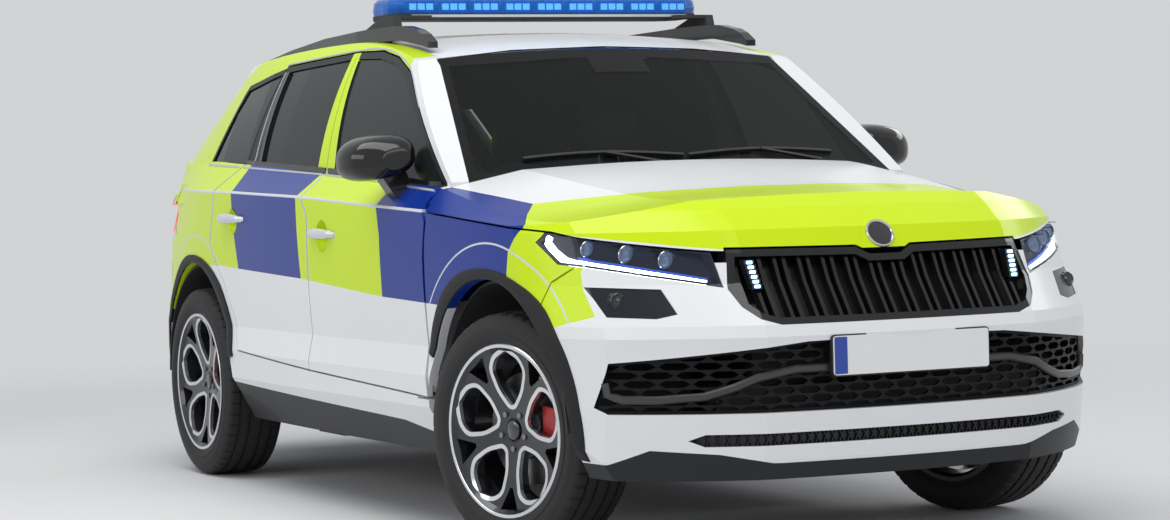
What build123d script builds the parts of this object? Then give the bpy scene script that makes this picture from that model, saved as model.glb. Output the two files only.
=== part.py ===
from build123d import *
import os
from functools import lru_cache
from math import cos, pi, sin

# Patrol SUV, right-hand drive, five-door body with roof light bar.
# Millimetres. X forward, Y to the left, Z up, origin on the ground under the
# middle of the overall length. Front wheels are parked turned to the left.

os.makedirs("parts", exist_ok=True)

# ---- driving dimensions ----------------------------------------------------
LENGTH = 4697
WHEELBASE = 2791
FRONT_AXLE = 1436
REAR_AXLE = FRONT_AXLE - WHEELBASE
TRACK_HALF = 790           # wheel centre plane from the middle
HUB_Z = 358
TYRE_R = 358
TYRE_WIDTH = 235
RIM_R = 262                # flange
PARKED_STEER = 15          # degrees left
KINGPIN_Y = 762
BODY_HALF = 941
NOSE_X = LENGTH / 2
ARCH_R = 455
SKIN = 28                  # outer panels away from the cabin
# Depths below the body surface of what is let into it.
LENS_BACK, TRAY_FLOOR, TRAY_BACK = 4, 40, 52
SLAT_FACE, PANEL_FACE, PANEL_BACK = 16, 52, 58
GAP = 6                    # shut lines
PILLAR = 42                # roof and pillar wall
CABIN_HALF = 826           # inner wall of the doors
DOOR_LIP_Y = 908           # a door's border is no deeper than this
FRAME_LIP = 14             # and by the rear pillar it is this thick
FLOOR_TOP = 262
FLOOR_HALF = 748
SILL_TOP = 395
GLASS = 5

SIDES = (("left", 1), ("right", -1))


def save(shape, name):
    """Write one node."""
    export_step(shape, f"parts/{name}.step")


def group(solids):
    """Like pieces that do not touch, in one node."""
    return Compound(children=[s for item in solids for s in item.solids()])


def largest(shape):
    """The real solid of a cut, without the slivers that a cut can leave."""
    return max(shape.solids(), key=lambda solid: solid.volume)


def mirrored(shape):
    return mirror(shape, about=Plane.XZ)


def box(x0, x1, y0, y1, z0, z1):
    return Pos((x0 + x1) / 2, (y0 + y1) / 2, (z0 + z1) / 2) * Box(x1 - x0, y1 - y0, z1 - z0)


def side_prism(points, y0=0, y1=1100, margin=0):
    """Extrude an outline drawn in side view, (x, z), from y0 to y1."""
    face = make_face(Polyline(*[(x, z) for x, z in points], close=True))
    if margin:
        face = offset(face, amount=margin, kind=Kind.INTERSECTION)
    return Pos(0, y1, 0) * (Plane.XZ * extrude(face, amount=y1 - y0))


def front_prism(points, x0, x1, margin=0):
    """Extrude an outline drawn in front view, (y, z), from x0 to x1."""
    face = make_face(Polyline(*points, close=True))
    if margin:
        face = offset(face, amount=margin, kind=Kind.INTERSECTION)
    return Pos(x0, 0, 0) * (Plane.YZ * extrude(face, amount=x1 - x0))


def plan_prism(points, z0, z1):
    face = make_face(Polyline(*points, close=True))
    return Pos(0, 0, z0) * extrude(face, amount=z1 - z0)


def y_cylinder(x, z, r, y0, y1):
    return Pos(x, (y0 + y1) / 2, z) * Rot(90, 0, 0) * Cylinder(r, abs(y1 - y0))


def y_ring(x, z, r_in, r_out, y0, y1):
    return y_cylinder(x, z, r_out, y0, y1) - y_cylinder(x, z, r_in, y0 - 5, y1 + 5)


# ---- body surface ----------------------------------------------------------
# Cross sections of the lower body: station x, half width at the lower crease,
# depth of the scallop above it, half width and height of the waist crease,
# half width and height of the belt, then the bonnet's inner crease and middle.
STATIONS = (
    # x      w_low  scallop  w_waist  z_waist  w_belt  z_belt  y_in  z_in  z_mid
    (-2400,   770,    0,      590,     1108,    550,    1210,   330,  1213, 1220),
    (-1900,   850,    0,      768,     1100,    735,    1200,   480,  1205, 1215),
    (-1355,   908,    4,      886,     1090,    806,    1194,   500,  1200, 1210),
    (-600,    936,   18,      930,     1076,    824,    1170,   500,  1176, 1186),
    (300,     937,   18,      933,     1047,    834,    1130,   500,  1142, 1154),
    (1000,    932,   14,      928,     1012,    858,    1082,   600,  1140, 1160),
    (1436,    930,    6,      914,     984,     868,    1012,   560,  1082, 1106),
    (1850,    905,    0,      880,     952,     820,    982,    510,  1038, 1056),
    (2400,    850,    0,      800,     890,     700,    912,    430,  935,  944),
)
SILL_IN = 95               # bottom edge tucks under by this much
BODY_BOTTOM = 245
CREASE_Z = 500


def section(row, inset):
    """Closed cross section of the lower body at one station."""
    x, w, scallop, ww, zw, wb, zb, yi, zi, zm = row
    half = [
        (w - SILL_IN, BODY_BOTTOM), (w - 8, 400), (w, CREASE_Z), (w - scallop, 590),
        (ww, zw), (wb, zb), (yi, zi),
    ]
    left = [Vector(x, y - inset, z + (inset if i == 0 else 0) - (inset if i > 4 else 0))
            for i, (y, z) in enumerate(half)]
    right = [Vector(p.X, -p.Y, p.Z) for p in left]
    barrel = lambda a, b, s: ThreePointArc(
        a, Vector(x, s * ((abs(a.Y) + abs(b.Y)) / 2 + 7), (a.Z + b.Z) / 2), b)
    edges = [Line(right[0], left[0])]
    edges += [Line(left[i], left[i + 1]) for i in range(3)]
    edges += [barrel(left[3], left[4], 1), Line(left[4], left[5]), Line(left[5], left[6])]
    edges += [ThreePointArc(left[6], Vector(x, 0, zm - inset), right[6])]
    edges += [Line(right[6], right[5]), Line(right[5], right[4]), barrel(right[4], right[3], -1)]
    edges += [Line(right[i + 1], right[i]) for i in reversed(range(3))]
    return Wire([e.edge() for e in edges])


# Nose outline seen from above, one row for each height: how far it stands
# behind the foremost point.
NOSE = (
    # z    setback
    (200,   70),
    (300,   34),
    (450,   10),
    (600,    4),
    (650,    0),
    (684,   14),
    (800,   98),
    (885,  140),
    (950,  178),
    (1010, 262),
    (1260, 700),
)
TAIL = (
    (200,   90),
    (330,   30),
    (480,    4),
    (640,    0),
    (700,   40),
    (960,   62),
    (1050,  72),
    (1100, 150),
    (1330, 220),
    (1510, 290),
    (1720, 380),
)


def nose_outline(z, back):
    f = NOSE_X - back
    pts = [(f - 38, 450), (f - 150, 640), (f - 318, 820), (f - 548, 902), (f - 900, 960)]
    left = [Vector(x, y, z) for x, y in pts]
    right = [Vector(x, -y, z) for x, y in pts]
    edges = [ThreePointArc(right[0], Vector(f, 0, z), left[0]),
             ThreePointArc(left[0], left[1], left[2]), ThreePointArc(left[2], left[3], left[4]),
             Line(left[4], Vector(0, 960, z)), Line(Vector(0, 960, z), Vector(0, -960, z)),
             Line(Vector(0, -960, z), right[4]), ThreePointArc(right[4], right[3], right[2]),
             ThreePointArc(right[2], right[1], right[0])]
    return Wire([e.edge() for e in edges])


def tail_outline(z, back):
    r = -NOSE_X + back
    pts = [(r + 40, 480), (r + 110, 640), (r + 270, 770), (r + 700, 900), (r + 1100, 960)]
    left = [Vector(x, y, z) for x, y in pts]
    right = [Vector(x, -y, z) for x, y in pts]
    edges = [ThreePointArc(left[0], Vector(r, 0, z), right[0]),
             ThreePointArc(right[0], right[1], right[2]), ThreePointArc(right[2], right[3], right[4]),
             Line(right[4], Vector(0, -960, z)), Line(Vector(0, -960, z), Vector(0, 960, z)),
             Line(Vector(0, 960, z), left[4]), ThreePointArc(left[4], left[3], left[2]),
             ThreePointArc(left[2], left[1], left[0])]
    return Wire([e.edge() for e in edges])


@lru_cache
def nose_block(inset):
    return Solid.make_loft([nose_outline(z, b + inset) for z, b in NOSE], ruled=True)


@lru_cache
def tail_block(inset):
    return Solid.make_loft([tail_outline(z, b + inset) for z, b in TAIL], ruled=True)


@lru_cache
def end_clip(inset):
    """What lies between the nose and tail surfaces."""
    return nose_block(inset) + tail_block(inset)


@lru_cache
def lower_body(inset):
    loft = Solid.make_loft([section(row, inset) for row in STATIONS], ruled=False)
    return loft & end_clip(inset)


def shell(surface, outer, inner, region):
    """Skin between two depths below one of the surfaces, within a region."""
    return (surface(outer) & region) - surface(inner)


# Top line in the middle of the car: windscreen foot and head, roof, rear glass.
SCREEN_FOOT = (1062, 1107)
SCREEN_HEAD = (440, 1548)
ROOF_TOP = (-330, 1634)
ROOF_TAIL = (-2010, 1552)
CROWN_R = 5000             # depth of the axis that the top line turns about
TUMBLE = ((838, 1040), (780, 1330), (690, 1540), (655, 1592), (590, 1640))
TAPER = (  # (x, narrowing at the belt, narrowing at the roof)
    (-2420, 240, 480), (-2120, 108, 362), (-1900, 28, 268), (-1700, 0, 180), (-1500, 0, 98), (-1300, 0, 48),
    (-1000, 0, 14), (-600, 0, 0), (1200, 0, 0))


@lru_cache
def crown(inset):
    """The top line turned about a lengthwise axis far below the ground."""
    foot = (1180, 1023.3 - 1.226 * inset)
    head = (SCREEN_HEAD[0] - 0.394 * inset, SCREEN_HEAD[1] - 0.946 * inset)
    top = (ROOF_TOP[0], ROOF_TOP[1] - inset)
    tail = (ROOF_TAIL[0] + 0.619 * inset, ROOF_TAIL[1] - 0.957 * inset)
    heel = (-2205 + 1.1 * inset, 1090)
    line = [Line(foot, head),
            ThreePointArc(head, (110, 1606 - inset), top),
            ThreePointArc(top, (-1200, 1613 - inset), tail),
            Line(tail, heel), Line(heel, (heel[0], 900)),
            Line((heel[0], 900), (1180, 900)), Line((1180, 900), foot)]
    axis = Axis((0, 0, -CROWN_R), (1, 0, 0))
    face = Plane.XZ * make_face(line)
    return revolve(face.rotate(axis, -12), axis, 24)


def tumble_section(x, low, high, inset):
    """Closed cross section of the cabin, narrowed by low at the belt and high at the roof."""
    foot, head = TUMBLE[0][1], TUMBLE[-1][1]
    (y0, z0), (y1, z1), (y2, z2), (y3, z3), (y4, z4) = [
        (y - low - (high - low) * (z - foot) / (head - foot) - inset, z) for y, z in TUMBLE]
    left = [Vector(x, y0, z0), Vector(x, y1, z1), Vector(x, y2, z2),
            Vector(x, y3, z3), Vector(x, y4, z4)]
    right = [Vector(p.X, -p.Y, p.Z) for p in left]
    top = 1760
    edges = [Line(right[0], left[0]), ThreePointArc(left[0], left[1], left[2]),
             ThreePointArc(left[2], left[3], left[4]),
             Line(left[4], Vector(x, y4, top)), Line(Vector(x, y4, top), Vector(x, -y4, top)),
             Line(Vector(x, -y4, top), right[4]), ThreePointArc(right[4], right[3], right[2]),
             ThreePointArc(right[2], right[1], right[0])]
    return Wire([e.edge() for e in edges])


@lru_cache
def greenhouse(inset):
    loft = Solid.make_loft([tumble_section(*row, inset) for row in TAPER], ruled=True)
    return loft & crown(inset)


# ---- outlines seen from the side, (x, z) -----------------------------------
FRONT_WINDOW = ((931, 1096), (594, 1326), (411, 1452), (249, 1506), (78, 1533),
                (-127, 1540), (-41, 1146))
REAR_WINDOW = ((-200, 1541), (-805, 1523), (-805, 1180), (-211, 1153))
QUARTER_WINDOW = ((-884, 1517), (-1265, 1468), (-1424, 1203), (-980, 1187))
B_SEAM = ((-45, 468), (-42, 1000), (-106, 1066), (-126, 1165), (-163, 1566))
FRONT_DOOR = ((973, 432), (971, 728), (970, 871), (988, 985), (966, 1014), (952, 1100),
              (608, 1344), (420, 1474), (254, 1530), (80, 1559)) + B_SEAM[::-1]
REAR_DOOR = B_SEAM + ((-800, 1547), (-866, 1545), (-964, 1186), (-1088, 1091), (-1095, 1005),
                      (-1131, 897), (-1088, 841), (-966, 749), (-868, 620), (-816, 503))
WAIST = ((985, 1016), (1170, 1003), (1758, 957), (2130, 893), (2400, 872))
BONNET_REAR = ((1045, 0), (1032, 500), (985, 850), (985, 1000))

# Outlines seen from the front, (y, z), left half.
HEADLAMP = ((528, 889), (700, 925), (862, 956), (880, 925), (858, 862), (700, 826), (519, 790))
GRILLE = ((0, 870), (52, 870), (92, 891), (488, 896), (511, 785), (492, 735), (455, 700), (400, 683),
          (0, 683))
INTAKE = ((0, 640), (330, 634), (815, 582), (838, 455), (815, 436), (0, 436))
HANDLES = {"door_front": (-16, 221, 937), "door_rear": (-957, -712, 985)}   # x range and height
HANDLE_Y = 926
GRILLE_INNER = ((0, 850), (60, 850), (98, 870), (470, 875), (490, 785), (473, 745), (441, 715), (396, 702),
                (0, 702))
SLAT_PAIRS = (37, 112, 187, 262, 337, 412)
SLAT_WIDTH = 11
SLAT_SPREAD = 14           # from a pair's middle to each slat's middle
CELL_PITCH = 78            # lower grille's long six-sided cells
CELL_HEIGHT = 25
CELL_WALL = 5
CELL_ROWS = 8
CELL_COLUMNS = 11
CELL_FIRST_Z = 446
FOG_LAMP = ((829, 797), (668, 788), (650, 718), (700, 706), (806, 712))
SLIT = ((0, 378), (600, 378), (640, 361), (600, 343), (0, 343))
TAILGATE = ((0, 1640), (575, 1640), (590, 1560), (650, 1330), (706, 1130), (706, 900), (612, 645), (0, 645))
REAR_GLASS = ((0, 1490), (385, 1476), (552, 1200), (0, 1170))
LAMP_SPLIT = 706           # the tail lamps part here, at the tailgate's edge
TAIL_LAMP = ((470, 1030), (706, 1072), (860, 1078), (860, 920), (706, 880), (560, 960))
SCREEN = ((0, 1556), (350, 1545), (632, 1516), (776, 1104), (776, 1040), (0, 1040))


def whole(outline):
    """Mirror a left-half outline about the middle."""
    right = [(-y, z) for y, z in reversed(outline) if y > 0]
    return tuple(outline) + tuple(right)


def hinge_relief(x):
    """Room for a door's leading edge: radius about the hinge line by height."""
    reach = ((425, 56), (500, 46), (590, 36), (850, 36), (930, 44), (985, 56), (1014, 46), (1040, 46))
    pts = [(0, reach[0][0])] + [(r, z) for z, r in reach] + [(0, reach[-1][0])]
    face = Plane.XZ * make_face(Polyline(*pts, close=True))
    return Pos(x, HINGE_Y, 0) * revolve(face, Axis.Z, 360)


HINGE_Y = 922
FRONT_HINGE_X = 946


def both(shape):
    """A left piece and its mirror image."""
    return shape, mirrored(shape)


def handle(x0, x1, z):
    """Bowl sunk in a door's skin and the pull across it."""
    bowl = Pos((x0 + x1) / 2, HANDLE_Y + 52, z - 6) * Sphere(70)
    face = HANDLE_Y + 30
    middle = (x0 + x1) / 2
    half = [(x0, HANDLE_Y), (x0 + 20, face - 6), (x0 + 44, face)]
    inner = [(x0 + 46, face - 16), (x0 + 34, HANDLE_Y)]
    outline = half + [(2 * middle - x, y) for x, y in half[::-1] + inner[::-1]] + inner
    return bowl, plan_prism(outline, z - 11, z + 11)


def upper_grille(half):
    """Left half: frame, six of the twelve pairs of upright slats and the panel behind them."""
    opening = front_prism(whole(GRILLE), 1900, 2400, -0.5) & half
    inner = front_prism(whole(GRILLE_INNER), 1900, 2400) & half
    frame = shell(nose_block, LENS_BACK, PANEL_BACK, opening) - inner
    slats = []
    for pair in SLAT_PAIRS:
        for y in (pair - SLAT_SPREAD, pair + SLAT_SPREAD):
            slats.append(box(1900, 2400, y - SLAT_WIDTH / 2, y + SLAT_WIDTH / 2, 690, 880))
    panel = shell(nose_block, PANEL_FACE, PANEL_BACK, inner)
    return frame + panel + shell(nose_block, SLAT_FACE, PANEL_BACK, inner & Compound(children=slats))


def lower_grille(half):
    """Left half: curved plate pierced by rows of long six-sided cells."""
    opening = front_prism(whole(INTAKE), 1700, 2400, -0.5) & half
    plate = shell(nose_block, SKIN, TRAY_FLOOR, opening)
    w = CELL_PITCH / 2 - CELL_WALL / 2
    h = CELL_HEIGHT / 2 - CELL_WALL / 2
    cells = []
    for row in range(CELL_ROWS):
        z = CELL_FIRST_Z + row * CELL_HEIGHT
        shift = CELL_PITCH / 2 * (row % 2)
        for column in range(CELL_COLUMNS):
            y = column * CELL_PITCH + shift
            cells.append(front_prism([(y - w, z), (y - w * 0.6, z + h), (y + w * 0.6, z + h), (y + w, z),
                                      (y + w * 0.6, z - h), (y - w * 0.6, z - h)], 1700, 2400))
    rim = front_prism(whole(INTAKE), 1700, 2400, -9)
    return plate - (Compound(children=cells) & rim)


def bodywork():
    """Outer panels and glass of the left half, and the pieces across the middle."""
    outer = lower_body(0) + greenhouse(0)
    side = box(-2400, 2400, 0, 1100, 200, 1700)
    well = box(-2400, 955, -755, 755, 100, 500) + box(-2400, 955, -CABIN_HALF, CABIN_HALF, SILL_TOP, 1112)
    upper = greenhouse(PILLAR) & (tail_block(50) + box(-10, 1000, -1000, 1000, 900, 1760))
    cabin = (well & end_clip(50)) + upper
    wall = (outer - cabin) & side
    pane = (greenhouse(6) - greenhouse(6 + GLASS)) & side
    piece = {}

    # doors: a skin with the full outline over a frame that stands in from it
    front_relief = hinge_relief(FRONT_HINGE_X)
    lip = box(-1200, 1000, 500, DOOR_LIP_Y, 200, 1060)
    lip = lip + (box(-1200, -780, 500, 1000, 1055, 1520) & greenhouse(FRAME_LIP))
    doors = (("door_front", FRONT_DOOR, FRONT_WINDOW), ("door_rear", REAR_DOOR, REAR_WINDOW))
    for name, outline, window in doors:
        door = wall & side_prism(outline, 600, 1100, -GAP / 2)
        door = door - box(930, 1000, 500, CABIN_HALF, 400, 1112)
        edge = side_prism(outline, 500, 1100, 5) - side_prism(outline, 500, 1100, -15)
        door = door - (edge & lip)
        door = door - side_prism(window, 500, 1100)
        bowl, bar = handle(*HANDLES[name])
        piece[name] = largest(door - bowl + bar)
        piece[name + "_glass"] = pane & side_prism(window, 500, 1100, -0.3)
    piece["quarter_glass"] = pane & side_prism(QUARTER_WINDOW, 500, 1100, -0.3)

    # front end
    nose = box(979, 2400, 0, 1100, 200, 1300)
    front_skin = shell(lower_body, 0, SKIN, nose)
    bonnet_side = side_prism(list(WAIST) + [(2400, 1300), (900, 1300), (900, 1016)])
    behind = [(x, y - 1) for x, y in BONNET_REAR]
    bonnet_plan = plan_prism([(2400, -1)] + behind + [(2400, 1000)], 800, 1300)
    bonnet = (front_skin & bonnet_side & bonnet_plan) - front_prism(whole(GRILLE), 1900, 2400, GAP)
    piece["bonnet"] = largest(bonnet)
    below = side_prism([(x, z - GAP) for x, z in WAIST] + [(2400, 200), (979, 200)])
    arch = y_cylinder(FRONT_AXLE, HUB_Z, ARCH_R, 600, 1100)
    low = (front_skin & below) - front_prism(HEADLAMP, 1700, 2400, 1) - arch
    seam = [(1745, 100), (1745, 700), (1791, 809), (1888, 862), (2500, 862), (2500, 100)]
    fender = (low & box(979, 2000, 500, 1100, 300, 1100)) - side_prism(seam, 0, 1100, GAP / 2)
    piece["fender"] = largest(fender - front_relief)
    bumper = low & side_prism(seam, 0, 1100, -GAP / 2)
    for opening in (whole(GRILLE), whole(INTAKE), whole(SLIT), FOG_LAMP):
        bumper = bumper - front_prism(opening, 1700, 2400)
    piece["bumper"] = largest(bumper)
    piece["grille"] = upper_grille(nose)
    piece["intake"] = lower_grille(nose)
    piece["fog"] = shell(lower_body, LENS_BACK, TRAY_BACK, front_prism(FOG_LAMP, 1700, 2400, -0.5))
    tray = shell(lower_body, LENS_BACK, TRAY_BACK, front_prism(HEADLAMP, 1700, 2400) & below)
    inside = (tray & front_prism(HEADLAMP, 1700, 2400, -7)) - lower_body(TRAY_FLOOR)
    piece["headlamp"] = largest(tray - inside)
    seat = front_prism(HEADLAMP, 1700, 2400, -1) & below
    piece["headlamp_lens"] = largest(shell(lower_body, 0, LENS_BACK, seat))
    screen = (crown(2) - crown(2 + GLASS)) & front_prism(whole(SCREEN), 380, 1200) & side
    piece["screen"] = screen & plan_prism([(1048, -1), (300, -1), (300, 900), (985, 900)], 1060, 1700)

    # rear end
    hatch = front_prism(whole(TAILGATE), -2400, -1992)
    glass_hole = front_prism(whole(REAR_GLASS), -2400, -1900)
    lamp_rear = front_prism(TAIL_LAMP, -2400, -1850)
    tail = box(-2400, -1700, -1, 1100, 200, 1700)
    rear_skin = (outer & tail) - ((lower_body(TRAY_FLOOR) + greenhouse(PILLAR)) & end_clip(45))
    gate = rear_skin & hatch & box(-2400, -1900, -1, 1000, 648, 1700)
    piece["tailgate"] = gate - glass_hole - lamp_rear
    piece["tailgate_glass"] = ((crown(4) - crown(4 + GLASS)) & side & glass_hole) & greenhouse(6)
    rear_arch = y_cylinder(REAR_AXLE, HUB_Z, ARCH_R, 600, 1100)
    bumper_side = side_prism(seam_rear())
    rear_bumper = shell(lower_body, 0, SKIN, bumper_side & side) - rear_arch
    piece["rear_bumper"] = rear_bumper - front_prism(whole(TAILGATE), -2400, -1992) - lamp_rear
    lamp = rear_skin & lamp_rear
    piece["tail_lamp"] = lamp - box(-2400, -1700, 0, LAMP_SPLIT + GAP / 2, 600, 1300)
    piece["tailgate_lamp"] = lamp & box(-2400, -1700, 0, LAMP_SPLIT - GAP / 2, 600, 1300)

    # body side: everything of the wall that is not a panel or an opening
    frame = wall & box(-2400, 1075, 0, 1100, 200, 1700)
    for name, outline, window in doors:
        frame = frame - side_prism(outline, 500, 1100, GAP / 2)
    frame = frame - side_prism(QUARTER_WINDOW, 500, 1100)
    frame = frame - side_prism([(x + 20, z) for x, z in seam_rear()], 0, 1100)
    frame = frame - box(979, 1400, 0, 1100, 100, 1018)
    over_waist = [(979, 1019)] + list(WAIST) + [(2400, 1300), (1075, 1300), (1075, 1100)]
    frame = frame - side_prism(over_waist, 0, 1100)
    frame = frame - bonnet_plan
    hatch_hole = whole([(y + GAP if y else 0, z) for y, z in TAILGATE])
    frame = frame - rear_arch - front_prism(hatch_hole, -2400, -1986)
    frame = frame - lamp_rear - front_relief
    frame = frame - front_prism(whole(SCREEN), 380, 1200)
    roof_plan = plan_prism([(2000, -1), (2000, 640), (-2400, 640), (-2400, -1)], 1400, 1700)
    roof = frame & roof_plan & box(-1986, 436, -1, 800, 1400, 1700)
    frame = frame & box(-2400, 1100, 640 + 0.5, 1100, 200, 1700)
    frame = frame - box(950, 1100, 600, 752, 100, 1056)
    piece["roof"] = roof
    piece["frame"] = largest(frame)
    return piece


def seam_rear():
    return ((-1760, 200), (-1760, 640), (-1830, 806), (-2400, 806), (-2400, 200))


# ---- running gear ----------------------------------------------------------
HUB_FACE = 40              # hub face outboard of the wheel centre plane
DISC_R = 170
DISC_IN = -14
DISC_OUT = 12
JOINT_Y = KINGPIN_Y - TRACK_HALF
STRUT_Y = -172


def tyre():
    """Tyre about the Y axis, wheel centre at the origin."""
    h = TYRE_WIDTH / 2
    bead = RIM_R - 11
    profile = [Line((-92, bead), (-108, RIM_R + 1)),
               ThreePointArc((-108, RIM_R + 1), (-h, 305), (-104, 346)),
               ThreePointArc((-104, 346), (-100, 352), (-90, 354)),
               ThreePointArc((-90, 354), (0, TYRE_R), (90, 354)),
               ThreePointArc((90, 354), (100, 352), (104, 346)),
               ThreePointArc((104, 346), (h, 305), (108, RIM_R + 1)), Line((108, RIM_R + 1), (92, bead)),
               Line((92, bead), (-92, bead))]
    return revolve(Plane.XY * make_face(profile), Axis.X, 360).rotate(Axis.Z, 90)


# Wheel windows, outer face: five petals and a small wedge between each pair,
# (radius, half width).
PETAL = ((74, 10), (118, 50), (180, 76), (216, 56), (240, 4))
WEDGE = ((172, 6), (238, 40))
RIM_SECTION = (  # (offset along the axle, radius)
    (-108, 262), (-108, 248), (-95, 238), (-60, 228), (38, 226), (48, 215), (HUB_FACE, 120), (HUB_FACE, 0),
    (62, 0), (62, 32), (67, 36), (73, 90), (84, 180), (94, 238), (108, 250), (108, 262), (92, 250),
    (-92, 250))


def rim():
    """Wheel with its outer face towards +Y."""
    body = revolve(Plane.XY * make_face(Polyline(*RIM_SECTION, close=True)), Axis.X, 360).rotate(Axis.Z, 90)
    for outline, start in ((PETAL, 0), (WEDGE, 36)):
        edge = [(t, r) for r, t in outline] + [(-t, r) for r, t in outline[::-1]]
        face = make_face(Polyline(*edge, close=True))
        window = Pos(0, 130, 0) * (Plane.XZ * extrude(face, amount=100))
        for i in range(5):
            body = body - window.rotate(Axis.Y, start + 72 * i)
    return body


def disc():
    """Vented brake disc and the hat that bolts it to the wheel."""
    ring = y_cylinder(0, 0, DISC_R, DISC_IN, DISC_OUT) - y_cylinder(0, 0, DISC_R + 1, -5, 3)
    ring = ring + y_cylinder(0, 0, 150, -6, 4)
    hat = y_cylinder(0, 0, 92, DISC_IN, HUB_FACE - 0.3)
    return ring + hat - y_cylinder(0, 0, 80, DISC_IN - 2, 32)


def caliper():
    """Floating caliper at the front of the disc, joined to its upright."""
    pad = make_face(Polyline((100, -75), (200, -60), (208, 0), (200, 60), (100, 75), close=True))
    body = Pos(0, 36, 0) * (Plane.XZ * extrude(pad, amount=98))
    return body - y_cylinder(0, 0, DISC_R + 6, DISC_IN - 6, DISC_OUT + 6)


def upright():
    """Hub carrier: bearing boss, arm with its two ball joints on the steering axis, caliper bridge."""
    arm = box(-30, 30, -66, -20, -120, 150)
    boss = y_cylinder(0, 0, 62, -72, -6)
    bridge = box(40, 150, -62, -26, -34, 34)
    joints = Pos(0, JOINT_Y, 15) * Cylinder(7, 290)
    return arm + boss + bridge + joints


def strut():
    """Damper and spring on a bracket that reaches over the inner bead of the tyre."""
    bracket = box(-25, 25, STRUT_Y - 6, -50, 104, 146)
    tube = Pos(0, STRUT_Y, 232) * Cylinder(21, 276)
    seat = Pos(0, STRUT_Y, 367) * Cylinder(34, 8)
    return bracket + tube + seat


def wheel_place(axle, side, steered):
    """Location of a wheel centre, turned to the parked steering angle."""
    spin = 0 if side > 0 else 180
    place = Pos(axle, side * TRACK_HALF, HUB_Z) * Rot(0, 0, spin)
    if not steered:
        return place
    pin = Pos(axle, side * KINGPIN_Y, 0)
    return pin * Rot(0, 0, PARKED_STEER) * pin.inverse() * place


def running_gear():
    shapes = {"tyre": tyre(), "wheel": rim(), "brake_disc": disc()}
    knuckle = upright() + caliper()
    rear = []
    for axle_name, axle in (("front", FRONT_AXLE), ("rear", REAR_AXLE)):
        for side_name, side in SIDES:
            place = wheel_place(axle, side, axle_name == "front")
            for name, shape in shapes.items():
                save(place * shape, f"{name}_{axle_name}_{side_name}")
            turned = place * (knuckle if side > 0 else knuckle.mirror(Plane.YZ))
            if axle_name == "front":
                save(turned + place * strut(), f"knuckle_front_{side_name}")
            else:
                rear.append(turned)
    save(group(rear), "knuckles_rear")


def arch_liner(axle, y0, y1, y_wall):
    """Inner arch: a half drum with a wall on its inner side."""
    drum = y_ring(axle, HUB_Z, ARCH_R - 12, ARCH_R - 5, y0, y1)
    wall = y_cylinder(axle, HUB_Z, ARCH_R - 5, y_wall, y_wall + 8)
    keep = box(axle - 460, axle + 460, 0, 1100, HUB_Z + 20, 1000)
    slot = box(axle - 90, axle + 90, y_wall - 20, y_wall + 30, 200, HUB_Z + 330)
    return (drum + wall) & keep - slot


def underbody():
    """Floor with toe board, heel board and boot floor; subframes and axle arms."""
    line = [(985, 225), (985, 1050), (955, 1050), (955, 420), (860, FLOOR_TOP), (-905, FLOOR_TOP),
            (-1010, 520), (-2230, 520), (-2230, 480), (-1040, 480), (-925, 225)]
    floor = side_prism(line, -748, 748) & end_clip(58)
    floor = floor & box(-2400, 1000, -FLOOR_HALF, FLOOR_HALF, 200, 1060)
    for s in (1, -1):
        floor = floor - y_cylinder(REAR_AXLE, HUB_Z, ARCH_R, min(s * 610, s * 900), max(s * 610, s * 900))
    floor = floor - box(-400, 985, -70, 70, 200, 240)
    save(floor, "floor_pan")
    front = box(1180, 1500, -400, 400, 215, 265) + box(1180, 1240, -440, 440, 215, 500)
    front = front + box(2150, 2200, -560, 560, 400, 500) + box(2085, 2125, -400, 400, 350, 850)
    for s in (1, -1):
        y0, y1 = min(s * 380, s * 440), max(s * 380, s * 440)
        front = front + box(1180, 2200, y0, y1, 400, 500) + box(986, 1240, y0, y1, 300, 500)
        arm = [(1200, s * 390), (1500, s * 390), (1470, s * 640), (1405, s * 640)]
        front = front + plan_prism(arm, 222, 250)
    save(front, "front_subframe")
    rear = box(-1500, -1180, -420, 420, 230, 300)
    for s in (1, -1):
        arm = [(-1480, s * 400), (-1240, s * 400), (-1330, s * 700), (-1390, s * 700)]
        rear = rear + plan_prism(arm, 240, 270)
        rear = rear + Pos(-1330, s * 520, 372) * Cylinder(50, 208)
    save(rear, "rear_subframe")
    block = box(1250, 1780, -320, 120, 320, 700) + box(1290, 1740, -290, 90, 700, 830)
    gearbox = y_cylinder(1520, 440, 150, 110, 370) + box(1400, 1640, 110, 330, 300, 440)
    plenum = box(1300, 1480, -240, 60, 825, 880)
    save(block + gearbox + plenum, "engine")
    tank = plan_prism([(-900, -560), (-860, -600), (-600, -600), (-560, -560), (-560, -160), (-600, -120),
                       (-860, -120), (-900, -160)], 182, 222)
    save(tank, "fuel_tank")
    pipe = box(-1580, 940, 20, 60, 180, 222)
    riser = side_prism([(-1580, 180), (-1540, 180), (-1600, 345), (-1640, 345)], 20, 60)
    silencer = side_prism([(-1980, 350), (-1980, 430), (-1950, 455), (-1650, 455), (-1620, 430),
                           (-1620, 350), (-1650, 325), (-1950, 325)], -400, 400)
    save(pipe + riser + silencer, "exhaust")


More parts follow.
